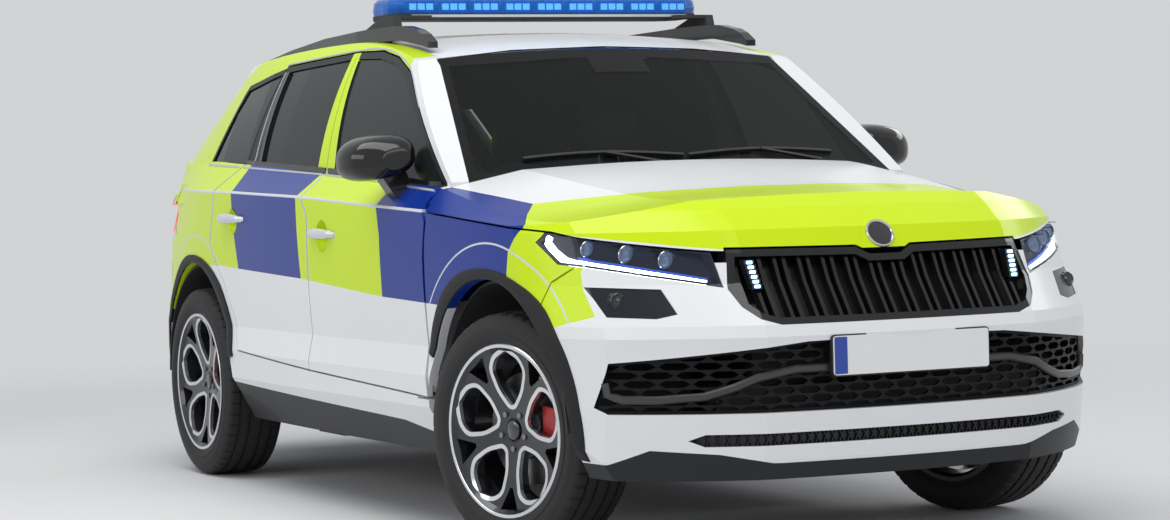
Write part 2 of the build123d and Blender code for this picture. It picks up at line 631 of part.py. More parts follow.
def cabin():
    """Front seats, rear bench, dashboard with its console."""
    cushion = side_prism([(-80, 330), (-100, 500), (60, 515), (400, 560), (445, 520), (440, 330)], 150, 580)
    back = side_prism([(-90, 470), (-310, 1120), (-235, 1150), (10, 500)], 151, 579)
    head = side_prism([(-350, 1190), (-368, 1370), (-280, 1380), (-240, 1200)], 240, 490)
    neck = side_prism([(-300, 1100), (-330, 1220), (-310, 1220), (-280, 1100)], 320, 410)
    rails = side_prism([(0, FLOOR_TOP), (0, 340), (380, 340), (380, FLOOR_TOP)], 160, 570)
    seat = cushion + back + head + neck + rails
    for y in (110, 576):
        seat = seat + side_prism([(-60, 335), (-78, 540), (380, 590), (430, 540), (425, 335)], y, y + 44)
        seat = seat + side_prism([(-70, 480), (-300, 1050), (-190, 1085), (45, 520)], y + 2, y + 42)
    save(group(both(seat)), "front_seats")
    bench = side_prism([(-860, 300), (-880, 560), (-400, 600), (-350, 560), (-340, 300)], -600, 600)
    bench = bench + side_prism([(-880, 540), (-1120, 1110), (-1030, 1135), (-740, 560)], -600, 600)
    for y in (-400, 0, 400):
        pillow = [(-1110, 1100), (-1190, 1290), (-1110, 1300), (-1040, 1120)]
        bench = bench + side_prism(pillow, y - 120, y + 120)
    save(bench, "rear_seats")
    dash = side_prism([(940, 700), (940, 1050), (860, 1085), (640, 1040), (560, 960), (580, 800),
                       (700, 690)], -740, 740)
    hood = side_prism([(850, 1070), (640, 1030), (632, 1095), (700, 1118), (850, 1105)], -540, -200)
    screen = side_prism([(640, 1020), (618, 1025), (600, 1135), (622, 1138)], -110, 110)
    console = side_prism([(-60, 263), (-60, 540), (300, 560), (540, 700), (600, 830), (760, 830),
                          (760, 263)], -95, 95)
    dash = dash + hood + screen + console
    column = Pos(WHEEL_AT) * Rot(0, -COLUMN_RAKE, 0) * Pos(0, 0, -100) * Cylinder(40, 190)
    save(dash - column, "dashboard")


# Mirror head by station: (x, middle y, middle z, half width, half height)
MIRROR_ROWS = (
    (562, 948, 1183, 86, 56), (576, 949, 1184, 93, 61), (630, 948, 1184, 94, 62), (690, 942, 1184, 88, 58),
    (726, 932, 1182, 70, 46), (746, 924, 1180, 44, 28))
MIRROR_POINTS = 20
MIRROR_SQUARENESS = 0.72   # exponent of the rounded box; 1 would be an ellipse


def mirror_loop(x, y, z, half_y, half_z):
    pts = []
    for i in range(MIRROR_POINTS):
        c, d = cos(2 * pi * (i + 0.5) / MIRROR_POINTS), sin(2 * pi * (i + 0.5) / MIRROR_POINTS)
        u = abs(c) ** MIRROR_SQUARENESS * (1 if c > 0 else -1)
        v = abs(d) ** MIRROR_SQUARENESS * (1 if d > 0 else -1)
        pts.append((x, y + half_y * u, z + half_z * v))
    return Polyline(*pts, close=True).wire()


def mirror_housing():
    """Left door mirror: arm on the door's sail corner and a domed head with a sunk glass."""
    head = Solid.make_loft([mirror_loop(*row) for row in MIRROR_ROWS], ruled=True)
    x, y, z, half_y, half_z = MIRROR_ROWS[0]
    recess = [mirror_loop(x + dx, y, z, half_y - 6, half_z - 6) for dx in (-1, 7)]
    head = head - Solid.make_loft(recess, ruled=True)
    foot = [(858, 1052), (905, 1052), (960, 1128), (960, 1160), (880, 1160), (858, 1130)]
    arm = front_prism(foot, 640, 712)
    return head + (arm - lower_body(0) - greenhouse(0))


def steering_wheel():
    rim_ring = Torus(178, 15)
    hub = Cylinder(62, 40)
    spokes = Pos(0, 0, -5) * Box(350, 40, 16) + Pos(0, -90, -5) * Box(50, 170, 16)
    column = Pos(0, 0, -60) * Cylinder(22, 90)
    wheel = rim_ring + hub + spokes + column
    return Pos(WHEEL_AT) * Rot(0, -COLUMN_RAKE, 0) * Rot(0, 0, 90) * wheel


WHEEL_AT = (420, -370, 985)
COLUMN_RAKE = 65


RAIL_TOP = ((352, 1577), (300, 1606), (253, 1622), (147, 1641), (49, 1646), (-207, 1646), (-658, 1637),
            (-1050, 1614), (-1400, 1584))
RAIL_UNDER = ((-1400, 1550), (-1050, 1574), (-658, 1592), (-207, 1598), (100, 1594), (300, 1566),
              (352, 1556))
RAIL_PLAN = ((360, 594), (360, 630), (-300, 630), (-1400, 578), (-1400, 542), (-300, 594))
BAR_X = (-262, 0)
BAR_HALF = 604
BAR_CORNER = 62
BAR_Z = (1676, 1692)
LENS_WALL = 4
BAR_LENS = ((BAR_Z[1] + 0.3, 2), (1712, 0), (1738, 4), (1750, 14), (1757, 34))   # (z, inset)
BAR_HOLLOW = ((BAR_Z[1] - 1, 2), (1712, 0), (1736, 4), (1746, 14), (1753, 34))
FOOT = ((-205, 1646.3), (52, 1646.3), (40, 1684), (-60, 1684))
FOOT_Y = (598, 629)


def roof_gear():
    """Two arched rails on the roof sides and the light bar that they carry."""
    rail = side_prism(RAIL_TOP + RAIL_UNDER, 500, 640) & plan_prism(RAIL_PLAN, 1500, 1700)
    save(group(both(largest(rail - greenhouse(0)))), "roof_rails")
    base = plan_prism(bar_plan(0), BAR_Z[0], BAR_Z[1])
    foot = side_prism(FOOT, *FOOT_Y) + box(FOOT[3][0], FOOT[2][0], 480, FOOT_Y[1], BAR_Z[0] - 4, FOOT[2][1])
    for part in both(foot):
        base = base + part
    save(base, "light_bar_base")
    shell_wires = [bar_wire(inset, z) for z, inset in BAR_LENS]
    hollow_wires = [bar_wire(inset + LENS_WALL, z) for z, inset in BAR_HOLLOW]
    cover = Solid.make_loft(shell_wires, ruled=True) - Solid.make_loft(hollow_wires, ruled=True)
    save(cover, "light_bar_lens")


def bar_plan(inset):
    """Outline of the light bar from above, its corners cut back."""
    x0, x1 = BAR_X[0] + inset, BAR_X[1] - inset
    y, c = BAR_HALF - inset, BAR_CORNER
    half = [(x1, y - c), (x1 - c * 0.3, y - c * 0.3), (x1 - c, y), (x0 + c, y), (x0 + c * 0.3, y - c * 0.3),
            (x0, y - c)]
    return half + [(px, -py) for px, py in reversed(half)]


def bar_wire(inset, z):
    return Polyline(*[(x, y, z) for x, y in bar_plan(inset)], close=True).wire()


# Nodes made from a left piece: two that stand apart, or one joined over the middle.
PAIRED_NODES = (
    ("quarter_glass", "quarter_glass"), ("fender", "front_wings"), ("headlamp", "headlamps"),
    ("headlamp_lens", "headlamp_lenses"), ("fog", "fog_lamps"), ("tail_lamp", "tail_lamps"),
    ("tailgate_lamp", "tailgate_lamps"))
MIDDLE_NODES = (
    ("bonnet", "bonnet"), ("bumper", "front_bumper"), ("grille", "grille"), ("intake", "intake_grille"),
    ("screen", "windscreen"), ("tailgate", "tailgate"), ("tailgate_glass", "tailgate_glass"),
    ("rear_bumper", "rear_bumper"), ("roof", "roof"))


COWL_DEPTH = 34            # fore and aft, in front of the windscreen's foot


def main():
    piece = bodywork()
    for name in ("door_front", "door_front_glass", "door_rear", "door_rear_glass"):
        save(piece[name], name + "_left")
        save(mirrored(piece[name]), name + "_right")
    save(piece["frame"], "side_frame_left")
    save(mirrored(piece["frame"]), "side_frame_right")
    for name, node in PAIRED_NODES:
        save(group(both(piece[name])), node)
    for name, node in MIDDLE_NODES:
        save(piece[name] + mirrored(piece[name]), node)
    glass_foot = [(1018, 740), (1042, 600), (1072, 0), (1042, -600), (1018, -740)]
    cowl_plan = glass_foot + [(x + COWL_DEPTH, y) for x, y in reversed(glass_foot)]
    save(largest(shell(lower_body, TRAY_FLOOR, TRAY_BACK, plan_prism(cowl_plan, 900, 1300))), "cowl")
    liners = [arch_liner(FRONT_AXLE, 470, 880, 462), arch_liner(REAR_AXLE, 618, 870, 612)]
    save(group([s for liner in liners for s in both(liner)]), "arch_liners")
    housing = mirror_housing()
    save(housing, "mirror_left")
    save(mirrored(housing), "mirror_right")
    save(steering_wheel(), "steering_wheel")
    roof_gear()
    running_gear()
    underbody()
    cabin()


main()
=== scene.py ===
import functools
import itertools
import math

import bmesh
import bpy
from mathutils import Matrix, Vector
from mathutils.bvhtree import BVHTree


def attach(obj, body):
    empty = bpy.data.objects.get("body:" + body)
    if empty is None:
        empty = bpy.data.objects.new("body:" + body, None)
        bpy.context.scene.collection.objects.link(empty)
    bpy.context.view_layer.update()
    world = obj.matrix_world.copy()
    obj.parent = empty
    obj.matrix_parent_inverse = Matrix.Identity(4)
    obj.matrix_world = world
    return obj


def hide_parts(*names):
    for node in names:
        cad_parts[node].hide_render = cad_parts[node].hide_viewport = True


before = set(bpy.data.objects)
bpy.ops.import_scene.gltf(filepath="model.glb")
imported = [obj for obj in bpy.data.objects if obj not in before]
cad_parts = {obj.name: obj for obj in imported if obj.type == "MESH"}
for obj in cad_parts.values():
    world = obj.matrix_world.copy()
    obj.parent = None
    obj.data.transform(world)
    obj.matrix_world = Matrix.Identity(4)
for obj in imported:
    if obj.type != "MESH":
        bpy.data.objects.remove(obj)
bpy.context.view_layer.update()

# Lengths are metres. x runs forward, y to the car's left, z up from the ground.
# ---- camera and car
IMAGE_W, IMAGE_H = 1170, 520
CAMERA_AT = (9.588, -4.540, 1.139)
CAMERA_TURN = (63.93, 0.79, -1.53)         # azimuth, elevation and roll, degrees
FOCAL_PX = 2976
CENTRE_PX = (595.0, 208.6)

FRONT_AXLE, REAR_AXLE = 1.436, -1.355
AXLES = (("front", FRONT_AXLE), ("rear", REAR_AXLE))
SIDES = (("left", 1), ("right", -1))
TRACK_HALF = 0.790
KINGPIN_Y = 0.762
HUB_Z = 0.358
PARKED_STEER = math.radians(15)
ARCH_R = 0.455
UP = Vector((0, 0, 1))

WHITE = (0.80, 0.81, 0.82)
YELLOW = (0.62, 0.82, 0.004)
BLUE = (0.005, 0.033, 0.28)
SILVER = (0.62, 0.66, 0.70)
TRIM_BLACK = (0.018, 0.019, 0.020)
HANDLE_CHROME = (0.62, 0.63, 0.65)


# ---- materials
class Nodes:
    """Short names for building a node tree."""

    def __init__(self, owner):
        owner.use_nodes = True
        self.tree = owner.node_tree
        self.tree.nodes.clear()

    def node(self, kind, **values):
        n = self.tree.nodes.new(kind)
        for key, value in values.items():
            setattr(n, key, value)
        return n

    def put(self, socket, value):
        """Set a number or colour on a socket itself, and link anything else to it."""
        if isinstance(value, tuple) and len(value) == 3:
            value = value + (1.0,)
        if isinstance(value, (int, float, tuple)):
            socket.default_value = value
        else:
            self.tree.links.new(value, socket)

    def math(self, op, *values):
        n = self.node("ShaderNodeMath", operation=op)
        for socket, value in zip(n.inputs, values):
            self.put(socket, value)
        return n.outputs[0]

    def either(self, *tests):
        return functools.reduce(lambda a, b: self.math("MAXIMUM", a, b), tests)

    def both(self, *tests):
        return functools.reduce(lambda a, b: self.math("MULTIPLY", a, b), tests)


class Graph(Nodes):
    """A material around one principled shader."""

    INPUTS = {"color": "Base Color", "rough": "Roughness", "metal": "Metallic",
              "coat": "Coat Weight", "coat_rough": "Coat Roughness", "alpha": "Alpha",
              "glow": "Emission Color", "power": "Emission Strength", "spec": "Specular IOR Level"}

    def __init__(self, name):
        self.mat = bpy.data.materials.new(name)
        super().__init__(self.mat)
        out = self.node("ShaderNodeOutputMaterial")
        self.bsdf = self.node("ShaderNodeBsdfPrincipled")
        self.put(out.inputs["Surface"], self.bsdf.outputs[0])
        self.coords = self.node("ShaderNodeTexCoord").outputs["Object"]

    def set(self, **values):
        for key, value in values.items():
            self.put(self.bsdf.inputs[self.INPUTS[key]], value)
        return self.mat

    def xyz(self):
        split = self.node("ShaderNodeSeparateXYZ")
        self.put(split.inputs[0], self.coords)
        return list(split.outputs)

    def less(self, a, b):
        return self.math("LESS_THAN", a, b)

    def more(self, a, b):
        return self.math("GREATER_THAN", a, b)

    def flip(self, a):
        return self.math("SUBTRACT", 1.0, a)

    def near(self, a, b, width):
        return self.less(self.math("ABSOLUTE", self.math("SUBTRACT", a, b)), width)

    def radius(self, a, b):
        squares = (self.math("MULTIPLY", v, v) for v in (a, b))
        return self.math("SQRT", self.math("ADD", *squares))

    def ramp(self, t, points):
        """Piecewise straight function of t through (t, value) points."""
        total = points[0][1]
        for (t0, v0), (t1, v1) in zip(points, points[1:]):
            n = self.node("ShaderNodeMapRange")
            for socket, value in (("Value", t), ("From Min", t0), ("From Max", t1),
                                  ("To Min", 0.0), ("To Max", v1 - v0)):
                self.put(n.inputs[socket], value)
            total = self.math("ADD", total, n.outputs[0])
        return total

    def mix(self, factor, a, b):
        n = self.node("ShaderNodeMix", data_type="RGBA")
        for socket, value in ((0, factor), (6, a), (7, b)):      # 6 and 7 are the two colours
            self.put(n.inputs[socket], value)
        return n.outputs[2]

    def mottle(self, noise, color, low, high=1.0):
        """The colour, darkened and lightened by the noise between two factors."""
        return self.mix(noise, *[tuple(min(1.0, c * f) for c in color) for f in (low, high)])

    def noise(self, scale, detail):
        n = self.node("ShaderNodeTexNoise")
        for socket, value in (("Vector", self.coords), ("Scale", scale), ("Detail", detail),
                              ("Roughness", 0.5)):
            self.put(n.inputs[socket], value)
        return n.outputs[0]

    def bump(self, height, strength, distance=0.001):
        n = self.node("ShaderNodeBump")
        for socket, value in (("Strength", strength), ("Distance", distance), ("Height", height)):
            self.put(n.inputs[socket], value)
        self.put(self.bsdf.inputs["Normal"], n.outputs[0])


def plain(name, color, rough=0.5, grain=0.0, grain_scale=400.0, vary=0.12, **more):
    """A surface of slightly varying colour and gloss and, with grain, a moulded texture."""
    g = Graph(name)
    n = g.noise(9.0, 4.0)
    g.set(color=g.mottle(n, color, 1 - vary, 1 + vary),
          rough=g.math("MULTIPLY_ADD", n, 0.12, rough - 0.06), **more)
    if grain:
        g.bump(g.noise(grain_scale, 2.0), grain)
    return g.mat


# ---- camera, light, floor
LAMPS = (           # name, place, target, size and power in watts
    ("key_overhead", (1.5, -2.0, 7.0), (0.3, 0, 0.6), (9.0, 4.0), 375),
    ("side_strip", (1.0, -9.0, 3.6), (0.0, 0, 0.7), (9.0, 2.4), 150),
    ("front_fill", (10.0, 1.0, 3.4), (1.5, 0, 0.7), (5.0, 3.0), 90),
    ("far_rim", (-2.0, 8.0, 5.0), (0, 0, 1.0), (8.0, 2.0), 140))
WORLD_LIGHT, WORLD_POWER = (0.93, 0.96, 1.0), 0.46
BACKGROUND = (0.64, 0.65, 0.66)            # what the camera, glass and gloss see of the world
FLOOR_HALF = 60.0
FLOOR_TONES = ((0.70, 0.70, 0.71), (0.72, 0.72, 0.73))
FLOOR_FADE = ((3.6, 0.0), (5.2, 0.35), (7.0, 0.85), (8.5, 1.0))     # (radius, how clear)


def link(obj):
    bpy.context.scene.collection.objects.link(obj)
    return obj


def camera():
    data = bpy.data.cameras.new("camera")
    data.lens = FOCAL_PX / IMAGE_W * data.sensor_width
    data.shift_x = (IMAGE_W / 2 - CENTRE_PX[0]) / IMAGE_W
    data.shift_y = (CENTRE_PX[1] - IMAGE_H / 2) / IMAGE_W
    data.clip_end = 200.0
    a, e, roll = (math.radians(v) for v in CAMERA_TURN)
    back = Vector((math.sin(a) * math.cos(e), -math.cos(a) * math.cos(e), math.sin(e)))
    right = Vector((math.cos(a), math.sin(a), 0.0))
    up = back.cross(right)
    c, s = math.cos(roll), math.sin(roll)
    turn = Matrix((right * c + up * s, up * c - right * s, back)).transposed().to_4x4()
    cam = link(bpy.data.objects.new("camera", data))
    cam.matrix_world = Matrix.Translation(CAMERA_AT) @ turn
    bpy.context.scene.camera = cam


def area_light(name, at, target, size, power):
    data = bpy.data.lights.new(name, "AREA")
    data.shape = "RECTANGLE"
    data.size, data.size_y = size
    data.energy = power
    lamp = link(bpy.data.objects.new(name, data))
    lamp.location = at
    lamp.rotation_euler = (Vector(target) - Vector(at)).to_track_quat("-Z", "Y").to_euler()


def studio():
    world = bpy.data.worlds.new("studio")
    bpy.context.scene.world = world
    g = Nodes(world)
    light, seen = (g.node("ShaderNodeBackground") for _ in range(2))
    path = g.node("ShaderNodeLightPath").outputs
    mix = g.node("ShaderNodeMixShader")
    out = g.node("ShaderNodeOutputWorld")
    sharp = g.either(*[path[f"Is {kind} Ray"] for kind in ("Camera", "Transmission", "Glossy")])
    for socket, value in ((light.inputs[0], WORLD_LIGHT), (light.inputs[1], WORLD_POWER),
                          (seen.inputs[0], BACKGROUND), (mix.inputs[0], sharp),
                          (mix.inputs[1], light.outputs[0]), (mix.inputs[2], seen.outputs[0]),
                          (out.inputs[0], mix.outputs[0])):
        g.put(socket, value)
    for lamp in LAMPS:
        area_light(*lamp)
    mesh = bpy.data.meshes.new("floor")
    s = FLOOR_HALF
    mesh.from_pydata([(-s, -s, 0), (s, -s, 0), (s, s, 0), (-s, s, 0)], [], [(0, 1, 2, 3)])
    floor = link(bpy.data.objects.new("floor", mesh))
    mesh.materials.append(floor_material())


def floor_material():
    """Pale floor that takes the shadow near the car and runs out into the background."""
    g = Graph("studio_floor")
    x, y, _ = g.xyz()
    return g.set(color=g.mix(g.noise(2.0, 2.0), *FLOOR_TONES), rough=0.8,
                 alpha=g.flip(g.ramp(g.radius(x, y), FLOOR_FADE)))


bpy.context.scene.view_settings.view_transform = "Standard"


# ---- livery
# Edges as piecewise straight lines. On the body side: z by x.
WAIST = ((-1.642, 1.092), (-0.871, 1.084), (-0.140, 1.065), (0.589, 1.033), (0.970, 1.017),
         (1.170, 1.003), (1.758, 0.957))
LIVERY_LOW = ((-1.405, 0.600), (-1.400, 0.810), (-0.981, 0.810), (-0.122, 0.782), (0.617, 0.739),
              (1.075, 0.726), (1.70, 0.660), (1.816, 0.677), (1.98, 0.714))
BELT_Z = ((-1.35, 1.201), (-0.17, 1.152), (0.931, 1.090), (1.2, 1.06))
SILL_BLACK = ((-0.90, 0.384), (0.70, 0.343), (0.95, 0.312))
QUARTER_TOP = ((-1.446, 1.206), (-1.284, 1.488), (-0.86, 1.540))
# x by z: ends of the blue and yellow blocks, seams, and the strip between the side windows.
EDGE_REAR = ((0.813, -0.786), (0.944, -0.827), (1.084, -0.857), (1.193, -0.900))
EDGE_MID = ((0.783, -0.117), (0.950, -0.140), (1.145, -0.159))
EDGE_FRONT = ((0.740, 0.618), (0.935, 0.616), (1.034, 0.593), (1.102, 0.581))
EDGE_WING = ((0.80, 1.575), (0.841, 1.578), (0.898, 1.581), (0.969, 1.642))
BUMPER_END = ((0.714, 1.980), (0.791, 1.913), (0.838, 1.896), (0.862, 1.905))
SEAM_B = ((0.47, -0.045), (1.000, -0.042), (1.066, -0.106), (1.150, -0.123))
SEAM_REAR = ((0.749, -0.966), (0.841, -1.088), (0.897, -1.131), (1.005, -1.095), (1.091, -1.088),
             (1.186, -0.964))
B_STRIP_REAR = ((1.150, -0.212), (1.56, -0.200))
B_STRIP_FRONT = ((1.140, -0.045), (1.56, -0.131))
# On the bonnet and the nose, by distance from the middle plane: x, x, z, z. By x: that distance.
BONNET_YELLOW = ((0.0, 1.685), (0.20, 1.665), (0.32, 1.655), (0.54, 1.605), (0.69, 1.495),
                 (0.765, 1.443), (0.85, 1.30))
BONNET_BLUE_END = ((0.763, 1.443), (0.830, 1.545), (0.882, 1.642))
BONNET_LIP = ((0.0, 0.872), (0.052, 0.872), (0.092, 0.892), (0.488, 0.895), (0.60, 0.908),
              (0.86, 0.948))
LOW_BLACK = ((0.40, 0.292), (0.425, 0.293), (0.564, 0.321), (0.725, 0.334), (0.811, 0.292))
BONNET_WHITE = ((1.000, 0.832), (1.162, 0.812), (1.324, 0.784), (1.443, 0.763))
SCREEN_EDGE = ((1.04, 0.776), (1.104, 0.776), (1.516, 0.632), (1.545, 0.35))     # by z

FLANK_Y = 0.62                     # the sides lie further out than this
ROOF_BAND_Y, ROOF_BAND_Z = 0.600, 1.45
CANTRAIL_FRONT = 0.40              # x where the yellow band over the doors ends
BUMPER_X = 1.80
TAIL_X, TAIL_Y = -2.0, 0.70        # the tail stays white behind and within these
WAIST_FRONT = 1.6
LINE, SEAM_LINE, FLARE_LINE = 0.0045, 0.0075, 0.003      # half widths
FLARE_R = 0.563
SEAMS = ((SEAM_B, 0.78), (SEAM_REAR, 0.81))              # and the z of their lower ends
HANDLES = ((-0.016, 0.221, 0.937), (-0.957, -0.712, 0.985))      # x from, x to, z
HANDLE_Y = 0.934
SCREEN_CLEAR = 0.46                # alpha of the windscreen outside its black print


def paint(name, part="shell"):
    """Gloss paint; the blocks of the livery lie on it by position on the car."""
    g = Graph(name)
    less, more, flip, near, both = g.less, g.more, g.flip, g.near, g.both
    x, y, z = g.xyz()
    ay = g.math("ABSOLUTE", y)
    n = g.noise(2.2, 2.0)
    gloss = g.math("MULTIPLY_ADD", n, 0.06, 0.20)
    trims = []
    if part == "bonnet":
        yellow = both(more(x, g.ramp(ay, BONNET_YELLOW)), flip(less(z, g.ramp(ay, BONNET_LIP))))
        blue = both(more(ay, g.ramp(x, BONNET_WHITE)), less(x, g.ramp(ay, BONNET_BLUE_END)))
    else:
        belt, low = g.ramp(x, BELT_Z), g.ramp(x, LIVERY_LOW)
        rear, mid, front, wing = (g.ramp(z, edge)
                                  for edge in (EDGE_REAR, EDGE_MID, EDGE_FRONT, EDGE_WING))
        flank = more(ay, FLANK_Y)
        side = both(flank, more(z, low))
        blocks = g.either(both(more(x, rear), less(x, mid)), both(more(x, front), less(x, wing)))
        blue = both(side, less(z, belt), blocks)
        upper = both(more(z, belt), more(x, CANTRAIL_FRONT))
        roof = both(less(ay, ROOF_BAND_Y), more(z, ROOF_BAND_Z))
        bumper = both(more(x, g.ramp(z, BUMPER_END)), more(x, BUMPER_X))
        tail = both(less(x, TAIL_X), less(ay, TAIL_Y))
        yellow = both(side, *[flip(zone) for zone in (blue, upper, roof, bumper, tail)])
        lines = [both(near(z, g.ramp(x, WAIST), LINE), less(x, WAIST_FRONT))]
        for seam, foot in SEAMS:
            lines.append(both(near(x, g.ramp(z, seam), SEAM_LINE), less(z, belt), more(z, foot)))
        for _, axle in AXLES:
            r = g.radius(g.math("SUBTRACT", x, axle), g.math("SUBTRACT", z, HUB_Z))
            lines.append(both(near(r, FLARE_R, FLARE_LINE), more(z, low)))
        trims.append((both(g.either(*lines), flank, flip(bumper)), SILVER))
        sill = both(less(z, g.ramp(x, SILL_BLACK)), more(x, -0.95), less(x, 1.0))
        under = both(less(z, g.ramp(ay, LOW_BLACK)), more(x, 1.70))
        diffuser = both(less(z, 0.43), less(x, -1.92))
        quarter = both(more(z, belt), more(x, QUARTER_TOP[0][0]), less(x, QUARTER_TOP[-1][0]),
                       less(z, g.ramp(x, QUARTER_TOP)), flank)
        black = g.either(sill, under, diffuser, quarter)
        if part == "door":
            strip = both(more(x, g.ramp(z, B_STRIP_REAR)), less(x, g.ramp(z, B_STRIP_FRONT)))
            black = g.either(black, both(more(z, belt), flip(strip)))
        trims.append((black, TRIM_BLACK))
        gloss = g.math("MULTIPLY_ADD", black, 0.25, gloss)
    if part == "door":
        chrome = g.either(*[both(more(x, x0 - 0.002), less(x, x1 + 0.002), near(z, at, 0.0125),
                                 more(ay, HANDLE_Y)) for x0, x1, at in HANDLES])
        trims.append((chrome, HANDLE_CHROME))
        g.set(metal=g.math("MULTIPLY", chrome, 0.85))
    color = g.mottle(n, WHITE, 0.97)
    for zone, tone in [(yellow, g.mottle(n, YELLOW, 0.95)), (blue, g.mottle(n, BLUE, 0.9))] + trims:
        color = g.mix(zone, color, tone)
    g.bump(g.noise(900.0, 1.0), 0.012, 0.0004)
    return g.set(color=color, rough=gloss, coat=0.08, spec=0.22, coat_rough=0.04)


def screen_glass(name):
    """Windscreen with its black printed border and the sensor block behind the mirror."""
    g = Graph(name)
    _, y, z = g.xyz()
    ay = g.math("ABSOLUTE", y)
    border = g.more(ay, g.math("SUBTRACT", g.ramp(z, SCREEN_EDGE), 0.030))
    top = g.more(g.math("MULTIPLY_ADD", ay, 0.055, z), 1.522)
    foot = g.less(g.math("MULTIPLY_ADD", ay, 0.030, z), 1.152)
    sensor = g.both(g.less(ay, 0.105), g.more(z, 1.462))
    dark = g.either(border, top, foot, sensor)
    tint = g.mix(g.noise(3.0, 2.0), (0.008, 0.010, 0.010), (0.010, 0.012, 0.012))
    return g.set(color=g.mix(dark, tint, (0.006, 0.006, 0.007)), rough=0.03, spec=0.16,
                 alpha=g.math("MULTIPLY_ADD", dark, 1 - SCREEN_CLEAR, SCREEN_CLEAR))


def pane(name, tint, opaque, scale=3.0, low=0.9, **gloss):
    """Tinted glass or plastic that lets part of the light through."""
    g = Graph(name)
    return g.set(color=g.mottle(g.noise(scale, 2.0), tint, low), alpha=opaque, **gloss)


def caliper_paint():
    """Red calipers; the struts above them, which share their nodes, are dark."""
    g = Graph("caliper_red")
    strut = g.more(g.xyz()[2], HUB_Z + 0.09)
    return g.set(color=g.mix(strut, (0.45, 0.01, 0.012), (0.02, 0.02, 0.021)), rough=0.35,
                 coat=0.4)


def assign(material, *nodes):
    for node in nodes:
        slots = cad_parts[node].material_slots
        if not slots:
            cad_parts[node].data.materials.append(material)
        for slot in slots:
            slot.material = material


def corners(name):
    return [f"{name}_{end}_{side}" for end, _ in AXLES for side, _ in SIDES]


def dress_frame():
    glass = {"rough": 0.03, "spec": 0.2}
    cover = {"scale": 5.0, "low": 0.92, "rough": 0.05, "coat": 0.25, "coat_rough": 0.02,
             "spec": 0.3}
    sides = ("left", "right")
    assign(paint("livery_paint"), "front_bumper", "front_wings", "roof", "tailgate", "rear_bumper",
           *[f"side_frame_{side}" for side in sides])
    assign(paint("livery_bonnet", "bonnet"), "bonnet")
    assign(paint("livery_doors", "door"), *corners("door"))
    assign(screen_glass("screen_glass"), "windscreen")
    assign(pane("privacy_glass", (0.010, 0.011, 0.012), 0.95, **glass), "quarter_glass",
           "tailgate_glass", *[f"door_rear_glass_{side}" for side in sides])
    assign(pane("side_glass", (0.022, 0.030, 0.029), 0.80, **glass),
           *[f"door_front_glass_{side}" for side in sides])
    assign(pane("lamp_cover", (0.05, 0.07, 0.12), 0.12, **cover), "headlamp_lenses")
    assign(pane("lens_blue", (0.0, 0.15, 0.62), 0.55, **cover), "light_bar_lens")
    assign(plain("gloss_black", (0.007, 0.007, 0.008), rough=0.2, coat=0.3, spec=0.3),
           "roof_rails", "grille")
    assign(plain("intake_black", (0.005, 0.005, 0.006), rough=0.5, spec=0.2), "intake_grille")
    assign(plain("grained_trim", (0.022, 0.023, 0.025), rough=0.62, grain=0.25), "arch_liners",
           "light_bar_base", "cowl", "dashboard", "steering_wheel")
    assign(plain("underbody_black", (0.02, 0.02, 0.02), rough=0.7, grain=0.2, grain_scale=120),
           "floor_pan", "front_subframe", "rear_subframe", "engine", "fuel_tank")
    assign(plain("wheel_anthracite", (0.028, 0.029, 0.032), rough=0.28, metal=0.5, coat=0.6),
           *corners("wheel"))
    assign(plain("disc_steel", (0.35, 0.35, 0.36), rough=0.35, metal=1.0), "exhaust",
           *corners("brake_disc"))
    assign(caliper_paint(), "knuckle_front_left", "knuckle_front_right", "knuckles_rear")
    assign(plain("lamp_red", (0.42, 0.006, 0.008), rough=0.12, coat=1.0), "tail_lamps",
           "tailgate_lamps")
    assign(plain("lamp_housing", (0.006, 0.008, 0.016), rough=0.25, coat=0.2, spec=0.3),
           "headlamps", "fog_lamps")


# ---- mesh helpers: a mesh is (points, faces)
BOX_FACES = [(3, 2, 1, 0), (4, 5, 6, 7), (0, 1, 5, 4), (1, 2, 6, 5), (2, 3, 7, 6), (3, 0, 4, 7)]
SHARP = math.radians(35)


def clean_mesh(name, mesh):
    """Mesh data with doubled points welded and its faces turned outwards."""
    data = bpy.data.meshes.new(name)
    data.from_pydata([tuple(v) for v in mesh[0]], [], mesh[1])
    bm = bmesh.new()
    bm.from_mesh(data)
    bmesh.ops.remove_doubles(bm, verts=bm.verts, dist=1e-6)
    bmesh.ops.recalc_face_normals(bm, faces=bm.faces)
    bm.to_mesh(data)
    bm.free()
    return data


def new_piece(name, mesh, material, body="body", smooth=True, replaces=(), slot=None):
    data = clean_mesh(name, mesh)
    for poly in data.polygons:
        poly.use_smooth = smooth
    if smooth:
        data.set_sharp_from_angle(angle=SHARP)
    piece = link(bpy.data.objects.new(name, data))
    data.materials.append(material)
    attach(piece, body)
    if replaces:
        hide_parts(*replaces)
    return piece


def bevel(piece, width, segments=2, angle=35):
    mod = piece.modifiers.new("bevel", "BEVEL")
    mod.width = width
    mod.segments = segments
    mod.limit_method = "ANGLE"
    mod.angle_limit = math.radians(angle)


def grid_faces(rows, columns, ring=False, loop=False):
    """Quads of a grid of points; ring closes each row, loop joins the last row to the first."""
    return [(r * columns + c, r * columns + (c + 1) % columns,
             (r + 1) % rows * columns + (c + 1) % columns, (r + 1) % rows * columns + c)
            for r in range(rows if loop else rows - 1)
            for c in range(columns if ring else columns - 1)]


def merge(parts):
    verts, faces = [], []
    for v, f in parts:
        base = len(verts)
        verts += list(v)
        faces += [tuple(base + i for i in face) for face in f]
    return verts, faces


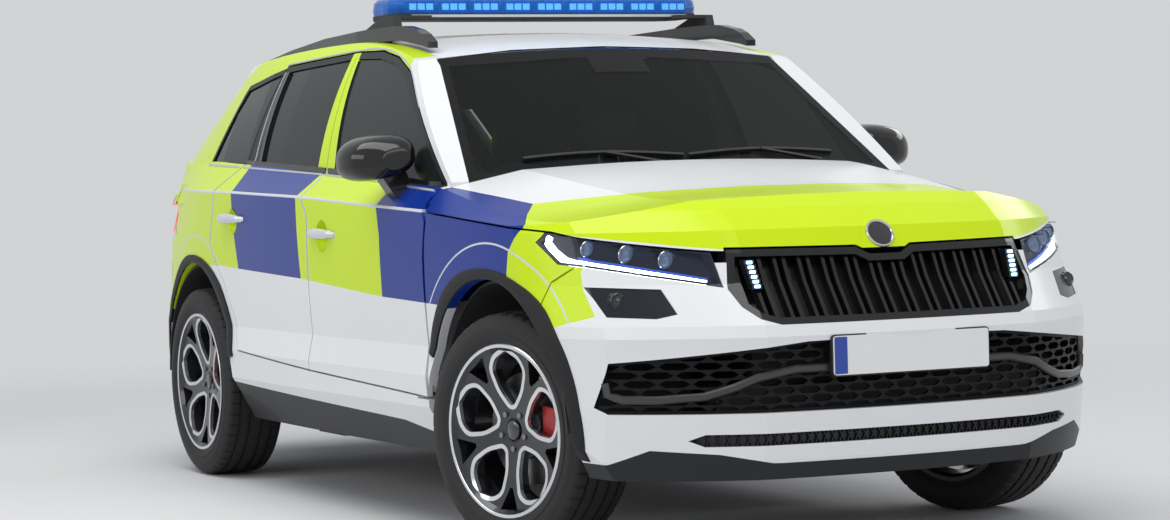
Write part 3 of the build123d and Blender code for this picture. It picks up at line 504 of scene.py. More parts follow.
def box_mesh(lo, hi):
    (x0, y0, z0), (x1, y1, z1) = lo, hi
    return [(x, y, z) for z in (z0, z1)
            for x, y in ((x0, y0), (x1, y0), (x1, y1), (x0, y1))], BOX_FACES


def lathe(profile, segments, shape=None):
    """Turn (y, r) points about the Y axis; shape(i, k, y, r) may move point i of segment k."""
    verts = []
    for k in range(segments):
        angle = math.tau * k / segments
        for i, (y, r) in enumerate(profile):
            if shape:
                y, r = shape(i, k, y, r)
            verts.append((r * math.sin(angle), y, r * math.cos(angle)))
    return verts, grid_faces(segments, len(profile), loop=True)


def along_x(u, v, d):
    return d, u, v


def along_y(u, v, d):
    return u, d, v


def prism(outline, place, lo, hi):
    """Closed prism of a flat outline; place(u, v, depth) gives a point."""
    n = len(outline)
    verts = [place(u, v, d) for d in (lo, hi) for u, v in outline]
    faces = [tuple(reversed(range(n))), tuple(range(n, 2 * n))]
    return verts, faces + [(i, (i + 1) % n, n + (i + 1) % n, n + i) for i in range(n)]


def corner(points, i):
    """Point i of a closed outline between its neighbours."""
    return (Vector(points[(i + k) % len(points)]) for k in (-1, 0, 1))


def rounded(points, radius, steps=4):
    """Round the corners of a flat outline."""
    out = []
    for i in range(len(points)):
        p0, p, p1 = corner(points, i)
        a, b = p0 - p, p1 - p
        reach = min(radius, a.length * 0.45, b.length * 0.45)
        a, b = p + a.normalized() * reach, p + b.normalized() * reach
        for s in range(steps + 1):
            t = s / steps
            out.append(tuple(a.lerp(p, t).lerp(p.lerp(b, t), t)))
    return out


def grown(points, distance):
    """Move an outline's edges outwards by distance (negative inwards)."""
    area = sum(x0 * y1 - x1 * y0 for (x0, y0), (x1, y1) in zip(points, points[1:] + points[:1]))
    sign = 1 if area > 0 else -1
    out = []
    for i in range(len(points)):
        p0, p, p1 = corner(points, i)
        d0, d1 = (p - p0).normalized(), (p1 - p).normalized()
        n0, n1 = Vector((d0.y, -d0.x)) * sign, Vector((d1.y, -d1.x)) * sign
        m = n0 + n1 if (n0 + n1).length >= 1e-6 else n0
        m.normalize()
        out.append(tuple(p + m * (distance / max(0.35, m.dot(n0)))))
    return out


def rectangle(y, z, half_y, half_z):
    return [(y - half_y, z - half_z), (y + half_y, z - half_z),
            (y + half_y, z + half_z), (y - half_y, z + half_z)]


def table(points, t):
    """Piecewise straight function of t through (t, value) points."""
    for (t0, v0), (t1, v1) in zip(points, points[1:]):
        if t <= t1:
            return v0 + (v1 - v0) * (t - t0) / (t1 - t0)
    return points[-1][1]


def smooth_rows(rows, per=5):
    """Catmull-Rom rows between the given ones."""
    out = []
    for i in range(len(rows) - 1):
        near = rows[max(0, i - 1)], rows[i], rows[i + 1], rows[min(len(rows) - 1, i + 2)]
        for k in range(per):
            t = k / per
            out.append(tuple(0.5 * (2 * b + (c - a) * t + (2 * a - 5 * b + 4 * c - d) * t ** 2
                                    + (3 * b - a - 3 * c + d) * t ** 3)
                             for a, b, c, d in zip(*near)))
    return out + [rows[-1]]


# ---- surface lookup
def surface_of(*nodes):
    """Search tree over the faces of some frame nodes, in world space."""
    parts = []
    for node in nodes:
        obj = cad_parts[node]
        parts.append(([obj.matrix_world @ v.co for v in obj.data.vertices],
                      [p.vertices for p in obj.data.polygons]))
    return BVHTree.FromPolygons(*merge(parts))


def hit(tree, start, way):
    """Where a ray meets the surface, and the normal on the ray's own side."""
    at, normal, _, _ = tree.ray_cast(Vector(start), Vector(way))
    if at is None:
        return None, None
    return at, normal if normal.dot(Vector(way)) < 0 else -normal


def hit_side(tree, x, z, side):
    return hit(tree, (x, side * 1.3, z), (0, -side, 0))


def hit_front(tree, y, z):
    return hit(tree, (3.2, y, z), (-1, 0, 0))


def hit_rear(tree, y, z):
    return hit(tree, (-3.2, y, z), (1, 0, 0))


def spaced(path, step=0.0, count=0):
    """Points along a path without its last corner: so many to an edge, or about a step apart."""
    for (u0, v0), (u1, v1) in zip(path, path[1:]):
        n = count or max(2, int(math.hypot(u1 - u0, v1 - v0) / step))
        for k in range(n):
            f = k / n
            yield u0 + (u1 - u0) * f, v0 + (v1 - v0) * f


def trace(hits):
    """Lists of the points and the normals of the rays that met a surface."""
    return tuple(zip(*[(at, normal) for at, normal in hits if at is not None]))


def neighbours(points, i):
    return points[max(0, i - 1)], points[min(len(points) - 1, i + 1)]


def ribbon(name, points, normals, half, proud, material, body, slot=None, up=None):
    """Flat band along points; its width runs along up or, without it, across the path."""
    verts = []
    for i, (p, n) in enumerate(zip(points, normals)):
        a, b = neighbours(points, i)
        w = (b - a).cross(n).normalized() if up is None else up
        for s, lift in ((-1, -0.002), (-1, proud), (1, proud), (1, -0.002)):
            verts.append(p + w * (half * s) + n * lift)
    last = 4 * len(points) - 4
    faces = grid_faces(len(points), 4) + [(0, 1, 2, 3), (last + 3, last + 2, last + 1, last)]
    new_piece(name, (verts, faces), material, body, slot=slot)


# ---- wheels
TREAD_SEGMENTS = 360
# Offset from the centre plane, radius, zone: w wall, s shoulder block, g groove, c centre rib.
TREAD_PROFILE = (
    (0.092, 0.2515, "w"), (0.1085, 0.2635, "w"), (0.1105, 0.272, "w"), (0.1165, 0.281, "w"),
    (0.1168, 0.290, "w"), (0.1150, 0.291, "w"), (0.1160, 0.305, "w"), (0.1145, 0.320, "w"),
    (0.1128, 0.322, "w"), (0.1105, 0.334, "w"), (0.1060, 0.343, "s"), (0.0990, 0.3505, "s"),
    (0.0900, 0.3535, "s"), (0.0700, 0.3552, "s"), (0.0690, 0.3475, "g"), (0.0600, 0.3475, "g"),
    (0.0590, 0.3560, "c"), (0.0300, 0.3572, "c"), (0.0290, 0.3490, "g"), (0.0190, 0.3490, "g"),
    (0.0180, 0.3575, "c"), (0.0, 0.3578, "c"))
# Half outline of a window (radius, half width) and height of the wheel's face by radius.
PETAL = ((0.074, 0.010), (0.118, 0.050), (0.180, 0.076), (0.216, 0.056), (0.240, 0.004))
FACE = ((0.0, 0.067), (0.036, 0.067), (0.090, 0.073), (0.180, 0.084), (0.238, 0.094),
        (0.262, 0.108))
BAND = 0.0115
RIM_LIP = ((0.109, 0.2505), (0.1105, 0.253), (0.1105, 0.2600), (0.108, 0.2625))
HUB_CAP = ((0.066, 0.0001), (0.0735, 0.0001), (0.0735, 0.026), (0.0715, 0.029), (0.066, 0.030))
BOLT_CIRCLE_R, BOLT_R = 0.056, 0.0095
SPOKES = 5


def wheel_matrix(end, side):
    x = dict(AXLES)[end]
    place = Matrix.Translation((x, side * TRACK_HALF, HUB_Z))
    if side < 0:
        place = place @ Matrix.Rotation(math.pi, 4, "Z")
    if end == "front":
        pin = Matrix.Translation((x, side * KINGPIN_Y, 0))
        place = pin @ Matrix.Rotation(PARKED_STEER, 4, "Z") @ pin.inverted() @ place
    return place


def tyre_mesh():
    profile = list(TREAD_PROFILE) + [(-y, r, zone) for y, r, zone in TREAD_PROFILE[-2::-1]]

    def shape(i, k, y, r):
        zone = profile[i][2]
        if zone == "s" and (k + (3 if y < 0 else 0)) % 7 == 0:
            return y, r - (0.0055 if abs(y) < 0.104 else 0.002)
        if zone == "c" and (k + int(y * 160)) % 9 == 0 and abs(y) > 0.01:
            return y, r - 0.0035
        return y, r

    return lathe([(y, r) for y, r, _ in profile], TREAD_SEGMENTS, shape)


def petal_band(turn):
    """Machined silver band round one window, standing just proud of the spokes."""
    outline = [(t, r) for r, t in PETAL] + [(-t, r) for r, t in reversed(PETAL)]
    inner = rounded(grown(outline, -0.0015), 0.018)
    outer = rounded(grown(outline, BAND), 0.024)
    c, s = math.cos(turn), math.sin(turn)
    verts = [(u * c + v * s, table(FACE, math.hypot(u, v)) + lift, v * c - u * s)
             for ring, lift in ((inner, -0.012), (inner, 0.0006), (outer, 0.0012), (outer, -0.003))
             for u, v in ring]
    return verts, grid_faces(4, len(inner), ring=True)


def wheel_bolt(turn):
    cx, cz = BOLT_CIRCLE_R * math.sin(turn), BOLT_CIRCLE_R * math.cos(turn)
    hexagon = [(cx + BOLT_R * math.sin(math.tau * k / 6), cz + BOLT_R * math.cos(math.tau * k / 6))
               for k in range(6)]
    return prism(hexagon, along_y, 0.062, 0.0745)


def wheels():
    rubber = plain("tyre_rubber", (0.014, 0.014, 0.015), rough=0.72, grain=0.15, grain_scale=700)
    silver = plain("machined_alloy", (0.72, 0.73, 0.75), rough=0.24, metal=0.9)
    cap = plain("cap_gloss", (0.012, 0.012, 0.013), rough=0.15, coat=1.0)
    bolt = plain("bolt_steel", (0.25, 0.25, 0.26), rough=0.35, metal=1.0)
    made = (("tyre_tread_", tyre_mesh(), rubber, "tyre"),
            ("wheel_bands_", merge([petal_band(math.tau * i / SPOKES) for i in range(SPOKES)]),
             silver, "alloy"),
            ("wheel_lip_", lathe(RIM_LIP, 120), silver, "alloy"),
            ("wheel_cap_", lathe(HUB_CAP, 48), cap, "alloy"),
            ("wheel_bolts_", merge([wheel_bolt(math.tau * (i + 0.5) / SPOKES)
                                    for i in range(SPOKES)]), bolt, "alloy"))
    for (end, _), (side_name, side) in itertools.product(AXLES, SIDES):
        tag = f"{end}_{side_name}"
        place = wheel_matrix(end, side)
        for prefix, (verts, faces), material, slot in made:
            new_piece(prefix + tag, ([place @ Vector(v) for v in verts], faces), material,
                      "wheel_" + tag, replaces=(f"tyre_{tag}",) if slot == "tyre" else (),
                      slot=slot)


# ---- body trim
# Outer radius of the wheel-arch cladding by degrees from straight up, forward positive.
CLADDING = ((-78, 0.492), (-55, 0.505), (-40, 0.512), (-28, 0.508), (-16, 0.498), (-6, 0.489),
            (6, 0.484), (18, 0.488), (30, 0.500), (42, 0.512), (55, 0.512), (70, 0.505),
            (80, 0.500))
CLADDING_SWEEP = {"front": (-76, 97), "rear": (-97, 76)}
CLADDING_STEPS = 72
CLADDING_SECTION = ((0, -0.030), (0, 0.0065), (1, 0.0095), (2, 0.0095), (3, 0.005), (3, -0.003))
WINDOW_FOOT = ((-1.440, 1.200), (-0.97, 1.184), (-0.17, 1.150), (0.45, 1.120), (0.950, 1.088))
WINDOW_SPANS = (("body", -1.440, -0.985), ("door_rear", -0.955, -0.130),
                ("door_front", -0.105, 0.935))
DOOR_SEAM_TOP = ((-0.866, 1.545), (-0.80, 1.547), (-0.163, 1.566), (0.080, 1.559), (0.254, 1.530),
                 (0.420, 1.474), (0.608, 1.344))


def cladding(trees, trim):
    """Grained band round each wheel arch, following the body surface."""
    inner_r = ARCH_R + 0.002
    for (end, axle), (side_name, side) in itertools.product(AXLES, SIDES):
        low, high = CLADDING_SWEEP[end]
        out = Vector((0, side, 0))
        verts = []
        for k in range(CLADDING_STEPS):
            deg = low + (high - low) * k / (CLADDING_STEPS - 1)
            a = math.radians(deg)
            radii = [inner_r + (table(CLADDING, deg) - ARCH_R - 0.002) * f
                     for f in (0.0, 0.33, 0.66, 1.0)]
            ring = [hit_side(trees[side], axle + r * math.sin(a), HUB_Z + r * math.cos(a), side)[0]
                    for r in radii]
            if all(at is not None and abs(at.y) >= 0.70 for at in ring):
                verts += [ring[i] + out * lift for i, lift in CLADDING_SECTION]
        new_piece(f"arch_cladding_{end}_{side_name}", (verts, grid_faces(len(verts) // 6, 6)),
                  trim, slot="black_trim")


def glass_trims(tree, side_name, side, black, silver):
    """Black strip under the side windows with a bright line below it, split at the seams."""
    for part, x0, x1 in WINDOW_SPANS:
        body = part if part == "body" else f"{part}_{side_name}"
        for tag, dz, half, proud, material in (("strip", 0.004, 0.011, 0.0035, black),
                                               ("line", -0.011, 0.0035, 0.0045, silver)):
            line = [x0 + (x1 - x0) * k / 24 for k in range(25)]
            path = trace(hit_side(tree, x, table(WINDOW_FOOT, x) + dz, side) for x in line)
            if len(path[0]) > 2:    # beside the quarter glass there is no body to carry the strip
                ribbon(f"window_{tag}_{part}_{side_name}", *path, half, proud, material, body,
                       up=UP)


def roof_lines(tree, side_name, side, bright):
    """Thin pale line where the roof side meets the door frames."""
    path = trace(hit_side(tree, x, z + 0.006, side) for x, z in smooth_rows(DOOR_SEAM_TOP, 8))
    ribbon("roof_line_" + side_name, *path, 0.003, 0.0025, bright, "body")


def pillar_strips(side_name, side, black, bright):
    """A dark upright strip with a bright edge behind the rear door's glass."""
    tree = surface_of("side_frame_" + side_name, "door_rear_" + side_name, "quarter_glass",
                      "door_rear_glass_" + side_name)
    for tag, material, half, proud, (x0, z0), (x1, z1) in (
            ("door", black, 0.017, 0.004, (-0.822, 1.520), (-0.822, 1.186)),
            ("edge", bright, 0.0035, 0.006, (-0.842, 1.520), (-0.872, 1.184))):
        path = trace(hit_side(tree, x0 + (x1 - x0) * k / 16, z0 + (z1 - z0) * k / 16, side)
                     for k in range(17))
        ribbon(f"pillar_{tag}_{side_name}", *path, half, proud, material,
               "door_rear_" + side_name)


# ---- rear quarter skins
# Sampled area (x from, x to, z from, z to), x where the skin starts, least y that is outside.
QUARTER_SKINS = (("upper", (-2.024, -1.650, 1.252, 1.420), -1.986, 0.50),
                 ("lower", (-1.930, -1.620, 0.895, 1.125), -1.905, 0.74))
SKIN_STEP = 0.011
SKIN_DEPTH = 0.0012
SKIN_PASSES = 150


def filled(line, c):
    """Known value at c, or one drawn straight between the nearest known ones."""
    if c in line:
        return line[c]
    left = max((k for k in line if k < c), default=None)
    right = min((k for k in line if k > c), default=None)
    if left is None or right is None:
        return line[right if left is None else left]
    return line[left] + (line[right] - line[left]) * (c - left) / (right - left)


def quarter_skins(side_name, side, material):
    """Skin over the body side behind the quarter glass, just under the surface it continues."""
    tree = surface_of("side_frame_" + side_name, "roof", "tailgate", "tail_lamps")
    for tag, (x0, x1, z0, z1), start, least in QUARTER_SKINS:
        xs, zs = ([a + i * SKIN_STEP for i in range(int((b - a) / SKIN_STEP) + 1)]
                  for a, b in ((x0, x1), (z0, z1)))
        known = []
        for z in zs:
            hits = [hit_side(tree, x, z, side)[0] for x in xs]
            known.append({c: abs(at.y) for c, at in enumerate(hits)
                          if at is not None and abs(at.y) > least})
        depth = [[filled(line, c) for c in range(len(xs))] for line in known]
        for _ in range(SKIN_PASSES):
            for r in range(1, len(zs) - 1):
                for c in range(1, len(xs) - 1):
                    if c not in known[r]:
                        depth[r][c] = (depth[r - 1][c] + depth[r + 1][c] + depth[r][c - 1]
                                       + depth[r][c + 1]) / 4
        first = next(c for c, x in enumerate(xs) if x >= start)
        verts = [(xs[c], side * (depth[r][c] - SKIN_DEPTH), z)
                 for r, z in enumerate(zs) for c in range(first, len(xs))]
        new_piece(f"quarter_skin_{tag}_{side_name}",
                  (verts, grid_faces(len(zs), len(xs) - first)), material, slot="body_paint")


# ---- light bar
MODULE_ROWS = ((-0.030, 1), (-0.232, -1))           # x of the row and the way its LEDs face
MODULE_PITCH, LED_PITCH, LED_OUT = 0.124, 0.032, 0.0145
MODULE_Z, LED_Z, RIB_Z = (1.698, 1.736), (1.706, 1.728), (1.709, 1.742)
RIB_Y = (-0.43, -0.29, 0.0, 0.29, 0.43)
BAR_TRAY = ((-0.205, -0.560, 1.6935), (-0.057, 0.560, 1.709))
BAR_STRIPS = (((-0.001, -0.54, 1.6795), (0.0012, 0.54, 1.6885)),
              ((-0.2632, -0.54, 1.6795), (-0.261, 0.54, 1.6885)))


def column(x, y, heights, half_x, half_y):
    """Box about (x, y) between two heights."""
    return box_mesh((x - half_x, y - half_y, heights[0]), (x + half_x, y + half_y, heights[1]))


def light_bar():
    led = plain("led_white_blue", (0.55, 0.75, 1.0), rough=0.3, glow=(0.22, 0.72, 1.0),
                power=2.6, vary=0.02)
    module = plain("led_module_blue", (0.01, 0.07, 0.40), rough=0.3, glow=(0.0, 0.20, 0.75),
                   power=0.22)
    carrier = plain("bar_carrier", (0.02, 0.03, 0.06), rough=0.4)
    grey = plain("bar_strip_grey", (0.55, 0.57, 0.60), rough=0.35, metal=0.3)
    modules, leds = [], []
    for i, (x, face) in itertools.product(range(-4, 5), MODULE_ROWS):
        y = i * MODULE_PITCH
        modules.append(column(x, y, MODULE_Z, 0.012, 0.052))
        leds += [column(x + face * LED_OUT, y + k * LED_PITCH, LED_Z, 0.0025, 0.012)
                 for k in (-1, 0, 1)]
    new_piece("light_bar_modules", merge(modules), module, smooth=False)
    new_piece("light_bar_leds", merge(leds), led, smooth=False)
    bevel(new_piece("light_bar_tray", box_mesh(*BAR_TRAY), carrier, smooth=False), 0.004)
    ribs = [column(-0.131, y, RIB_Z, 0.059, 0.006) for y in RIB_Y]
    new_piece("light_bar_ribs", merge(ribs), carrier, smooth=False)
    new_piece("light_bar_strip", merge([box_mesh(*s) for s in BAR_STRIPS]), grey, smooth=False)


# ---- front of the car
PLATE_X, PLATE_Z, PLATE_HALF_Y, PLATE_HALF_Z = 2.3475, 0.590, 0.260, 0.0555
# Profiles as (height along the axis, radius).
BADGE_RING = ((-0.004, 0.046), (0.003, 0.046), (0.0055, 0.0445), (0.0055, 0.040),
              (0.0035, 0.0385), (-0.002, 0.0385))
BADGE_DOME = ((0.002, 0.0385), (0.0036, 0.030), (0.0044, 0.018), (0.0047, 0.0005))
BADGE_Z = 0.926
STROBE_TOP = Vector((2.196, 0.442, 0.858))          # highest lamp, left side
STROBE_STEP = Vector((0.0062, -0.0015, -0.0135))    # from each lamp to the one below it
STROBE_LAMPS = 6


def number_plate():
    white = plain("plate_white", (0.80, 0.81, 0.80), rough=0.35, coat=0.4, vary=0.02)
    blue = plain("plate_blue_band", (0.01, 0.05, 0.35), rough=0.35, coat=0.4)
    holder = plain("plate_holder", (0.015, 0.015, 0.016), rough=0.5)
    x, z = PLATE_X, PLATE_Z
    outline = rounded(rectangle(0.0, z, PLATE_HALF_Y, PLATE_HALF_Z), 0.010)
    band = rounded(rectangle(0.024 - PLATE_HALF_Y, z, 0.021, PLATE_HALF_Z - 0.003), 0.004)
    for name, shape, back, front, material in (
            ("plate_holder_front", grown(outline, 0.004), 0.016, 0.0035, holder),
            ("plate_front", outline, 0.0036, 0.0006, white),
            ("plate_band_front", band, 0.0010, 0.0001, blue)):
        new_piece(name, prism(shape, along_x, x - back, x - front), material, smooth=False)
    for side_name, side in SIDES:
        y = side * 0.17
        bracket = box_mesh((x - 0.075, y - 0.02, z - 0.02), (x - 0.014, y + 0.02, z + 0.02))
        new_piece("plate_bracket_" + side_name, bracket, holder, smooth=False)


def emblem(tree):
    """Plain round badge, bearing no mark, on the lip of the bonnet."""
    chrome = plain("badge_chrome", (0.65, 0.66, 0.68), rough=0.12, metal=1.0)
    black = plain("badge_black", (0.01, 0.01, 0.011), rough=0.2, coat=0.8)
    at, normal = hit_front(tree, 0.0, BADGE_Z)
    place = Matrix.Translation(at) @ normal.to_track_quat("Z", "Y").to_matrix().to_4x4()
    for name, profile, material in (("badge_ring", BADGE_RING, chrome),
                                    ("badge_disc", BADGE_DOME, black)):
        verts, faces = lathe(profile, 72)
        verts = [place @ Vector((x, z, y)) for x, y, z in verts]
        new_piece(name, (verts, faces), material, "bonnet")


def strobes():
    """Two strobe modules inside the grille."""
    shell = plain("strobe_shell", (0.01, 0.011, 0.013), rough=0.3, coat=0.5)
    led = plain("strobe_led", (0.5, 0.7, 1.0), rough=0.3, glow=(0.25, 0.55, 1.0), power=5.0,
                vary=0.02)
    for side_name, side in SIDES:
        cases, lamps = [], []
        for k in range(STROBE_LAMPS):
            x, y, z = STROBE_TOP + STROBE_STEP * k
            y *= side
            lamps.append(prism(rounded(rectangle(y, z, 0.009, 0.0045), 0.003), along_x,
                               x - 0.004, x + 0.003))
            cases.append(box_mesh((x - 0.030, y - 0.016, z - 0.0075), (x, y + 0.016, z + 0.0075)))
        new_piece("strobe_case_" + side_name, merge(cases), shell, smooth=False)
        new_piece("strobe_leds_" + side_name, merge(lamps), led, smooth=False)


# ---- door mirrors
# Mirror head by station: (x, middle y, middle z, half width, half height), left side.
MIRROR_ROWS = ((0.562, 0.948, 1.189, 0.101, 0.066), (0.576, 0.949, 1.190, 0.109, 0.072),
               (0.630, 0.948, 1.190, 0.111, 0.074), (0.690, 0.940, 1.189, 0.103, 0.069),
               (0.726, 0.926, 1.186, 0.082, 0.055), (0.7455, 0.914, 1.183, 0.050, 0.034))
MIRROR_LIP = (0.562, 0.948, 1.189, 0.095, 0.060)    # inside edge of the first row
MIRROR_SHEAR = 0.13                                 # the cap is taller towards the door
MIRROR_POINTS = 56
MIRROR_FOOT = ((0.862, 1.058), (0.905, 1.056), (0.956, 1.130), (0.956, 1.158), (0.884, 1.158),
               (0.862, 1.132))


def mirror_ring(row, side, scale=1.0, dx=0.0):
    x, y, z, half_y, half_z = row
    ring = []
    for i in range(MIRROR_POINTS):
        a = math.tau * i / MIRROR_POINTS
        across, up = (half * scale * math.copysign(abs(t) ** 0.8, t)
                      for half, t in ((half_y, math.cos(a)), (half_z, math.sin(a))))
        ring.append(Vector((x + dx, side * (y + across), z - MIRROR_SHEAR * across + up)))
    return ring


def rings_mesh(rings):
    """Tube through rings of points, closed at the last one."""
    rows, n = len(rings), len(rings[0])
    faces = grid_faces(rows, n, ring=True) + [tuple(range((rows - 1) * n, rows * n))]
    return [p for ring in rings for p in ring], faces


def door_mirrors():
    black = plain("mirror_gloss_black", (0.008, 0.008, 0.009), rough=0.12, coat=0.35, spec=0.35,
                  vary=0.05)
    glass = plain("mirror_glass", (0.55, 0.57, 0.60), rough=0.04, metal=1.0, vary=0.02)
    rows = smooth_rows(MIRROR_ROWS)
    for side_name, side in SIDES:
        body = "door_front_" + side_name
        rings = [mirror_ring(MIRROR_LIP, side, dx=0.006), mirror_ring(MIRROR_LIP, side)]
        rings += [mirror_ring(row, side) for row in rows]
        rings += [mirror_ring(rows[-1], side, f, 0.0004) for f in (0.9, 0.5, 0.1)]
        foot = prism(rounded(MIRROR_FOOT, 0.012), lambda u, v, d: (d, side * u, v), 0.645, 0.710)
        head = new_piece("mirror_shell_" + side_name, merge([rings_mesh(rings), foot]), black,
                         body, replaces=("mirror_" + side_name,), slot="black_gloss")
        bevel(head, 0.004, angle=50)
        pane = [mirror_ring(MIRROR_LIP, side, f, 0.0055) for f in (1.0, 0.6, 0.05)]
        new_piece("mirror_pane_" + side_name, rings_mesh(pane), glass, body)


# ---- windscreen wipers
WIPERS = ((0.52, 0.58, 0.02), (-0.06, 0.00, -0.56))  # pivot y, blade from y, blade to y
BLADE_STEPS, ARM_STEPS = 14, 8


def offset(points, normals, distance):
    return [p + n * distance for p, n in zip(points, normals)]


def wipers():
    black = plain("wiper_black", (0.012, 0.012, 0.013), rough=0.45)
    tree = surface_of("windscreen")
    for k, (pivot, y0, y1) in enumerate(WIPERS):
        fractions = [i / BLADE_STEPS for i in range(BLADE_STEPS + 1)]
        points, ways = trace(hit_front(tree, y0 + (y1 - y0) * f,
                                       1.168 + 0.014 * math.sin(math.pi * f)) for f in fractions)
        points = offset(points, ways, 0.002)
        ribbon(f"wiper_blade_{k}", points, ways, 0.006, 0.009, black, "body")
        reach = points[BLADE_STEPS // 2].y - pivot
        fractions = [i / ARM_STEPS for i in range(ARM_STEPS + 1)]
        arm, ways = trace(hit_front(tree, pivot + reach * f, 1.142 + 0.036 * f)
                          for f in fractions)
        arm = [p + n * (0.002 + 0.008 * f) for p, n, f in zip(arm, ways, fractions)]
        ribbon(f"wiper_arm_{k}", arm, ways, 0.006, 0.007, black, "body")


# ---- rear and door pulls
# Paths in rear view (y, z) of the left side, with the body that each bar rides.
TAIL_BARS = (("outer", "body", ((0.735, 0.915), (0.790, 0.940), (0.800, 1.035), (0.740, 1.050))),
             ("inner", "tailgate", ((0.690, 0.915), (0.600, 0.965), (0.520, 1.010),
                                    (0.560, 1.035), (0.690, 1.050))))
PULL_STEPS, PULL_POINTS = 22, 28


def tail_bars():
    """Bright bars that run round inside the tail lamps."""
    glow = plain("tail_light_bar", (0.8, 0.02, 0.02), rough=0.3, glow=(1.0, 0.03, 0.02),
                 power=0.8, vary=0.02)
    lamps = surface_of("tail_lamps", "tailgate_lamps")
    for (side_name, side), (tag, body, path) in itertools.product(SIDES, TAIL_BARS):
        line = trace(hit_rear(lamps, side * y, z) for y, z in spaced(path, count=8))
        ribbon(f"tail_bar_{tag}_{side_name}", *line, 0.006, 0.0015, glow, body)


def door_pulls(tree, side_name, side, silver):
    """Thick rounded pull over each door's handle bar."""
    for (x0, x1, z), end in zip(HANDLES, ("front", "rear")):
        rings = []
        for k in range(PULL_STEPS + 1):
            f = k / PULL_STEPS
            x = x0 - 0.004 + (x1 - x0 + 0.008) * f
            y = hit_side(tree, min(max(x, x0 + 0.004), x1 - 0.004), z, side)[0].y - side * 0.004
            swell = max(0.06, math.sin(math.pi * f)) ** 0.30
            middle = z + 0.003 * math.sin(math.pi * f)
            turns = [math.tau * i / PULL_POINTS for i in range(PULL_POINTS)]
            rings.append([(x, y + side * 0.0095 * swell * math.cos(a),
                           middle + 0.0175 * swell * math.sin(a)) for a in turns])
        verts, faces = rings_mesh(rings)
        faces.append(tuple(reversed(range(PULL_POINTS))))
        new_piece(f"door_pull_{end}_{side_name}", (verts, faces), silver,
                  f"door_{end}_{side_name}")


# ---- seats
# A volume is a closed side outline (x, z) and the width (y from, y to) it fills. Metres.
FRONT_CUSHION = (((-0.055, 0.350), (-0.072, 0.488), (0.060, 0.502), (0.392, 0.545),
                  (0.430, 0.512), (0.425, 0.350)), 0.150, 0.580)
FRONT_BOLSTER = ((-0.048, 0.345), (-0.066, 0.528), (0.372, 0.576), (0.418, 0.532), (0.413, 0.345))
FRONT_BACK = (((-0.092, 0.492), (-0.300, 1.108), (-0.238, 1.134), (-0.004, 0.516)), 0.150, 0.580)
BACK_BOLSTER = ((-0.064, 0.500), (-0.288, 1.040), (-0.200, 1.070), (0.026, 0.532))
FRONT_HEAD = (((-0.342, 1.200), (-0.358, 1.358), (-0.286, 1.368), (-0.250, 1.210)), 0.252, 0.478)
REAR_CUSHION = (((-0.848, 0.312), (-0.866, 0.548), (-0.402, 0.586), (-0.362, 0.552),
                 (-0.354, 0.312)), -0.588, 0.588)
REAR_BACK = (((-0.872, 0.566), (-1.106, 1.098), (-1.034, 1.120), (-0.758, 0.580)), -0.588, 0.588)
REAR_HEAD = (((-1.104, 1.128), (-1.172, 1.276), (-1.112, 1.286), (-1.054, 1.136)), -0.112, 0.112)
SEAT_BASE = ((0.0, 0.256), (-0.03, 0.350), (0.40, 0.350), (0.38, 0.256))
POST_Z = (1.090, 1.225)
CLOTH_FRAMES = 20
THREADS = 2400.0
SEAM_WIDTH, SEAM_DEPTH = 0.0045, 0.006


def cloth_material(name, colour):
    """Woven seat fabric: fine crossed threads over a soft mottle."""
    g = Graph(name)
    x, y, z = g.xyz()
    warp, weft = (g.math("SINE", g.math("MULTIPLY", along, THREADS))
                  for along in (y, g.math("ADD", x, z)))
    tone = g.mix(g.noise(40.0, 3.0), *(tuple(c * f for c in colour) for f in (0.75, 1.25)))
    g.set(color=tone, rough=0.92)
    g.bump(g.math("MULTIPLY", warp, weft), 0.25)
    return g.mat


def evaluated(obj):
    graph = bpy.context.evaluated_depsgraph_get()
    return bpy.data.meshes.new_from_object(obj.evaluated_get(graph), depsgraph=graph)


def swell(obj):
    """The object's mesh after some frames of cloth pressure, with no gravity."""
    cloth = obj.modifiers.new("cloth", "CLOTH")
    cloth.settings.quality = 4
    cloth.settings.mass = 0.3
    cloth.settings.use_pressure = True
    cloth.settings.uniform_pressure_force = 4.0
    cloth.settings.effector_weights.gravity = 0.0
    cloth.collision_settings.use_collision = False
    cloth.point_cache.frame_end = CLOTH_FRAMES
    for step in range(1, CLOTH_FRAMES + 1):
        bpy.context.scene.frame_set(step)
    swollen = evaluated(obj)
    bpy.context.scene.frame_set(1)
    return swollen


def padded_mesh(volumes, voxel, cap, seams=()):
    """Swell a closed form by at most cap, then press in sewn seams at offsets from its middle."""
    form = merge([prism(rounded(grown(outline, -0.004), 0.012, 2), along_y, lo, hi)
                  for outline, lo, hi in volumes])
    base = link(bpy.data.objects.new("pad_base", clean_mesh("pad_base", form)))
    remesh = base.modifiers.new("remesh", "REMESH")
    remesh.mode = "VOXEL"
    remesh.voxel_size = voxel
    base.modifiers.new("ease", "SMOOTH").iterations = 3
    rested = evaluated(base)
    base.modifiers.clear()
    base.data = rested
    start = [v.co.copy() for v in rested.vertices]
    swollen = swell(base)
    middle = (min(p.y for p in start) + max(p.y for p in start)) / 2
    points = []
    for vert, at in zip(swollen.vertices, start):
        move = vert.co - at
        if move.length > cap:
            move *= cap / move.length
        inward = sum(math.exp(-((abs(at.y - middle) - seam) / SEAM_WIDTH) ** 2) for seam in seams)
        points.append(at + move - vert.normal * (SEAM_DEPTH * min(1.0, inward)))
    faces = [tuple(p.vertices) for p in swollen.polygons]
    bpy.data.objects.remove(base)
    return points, faces


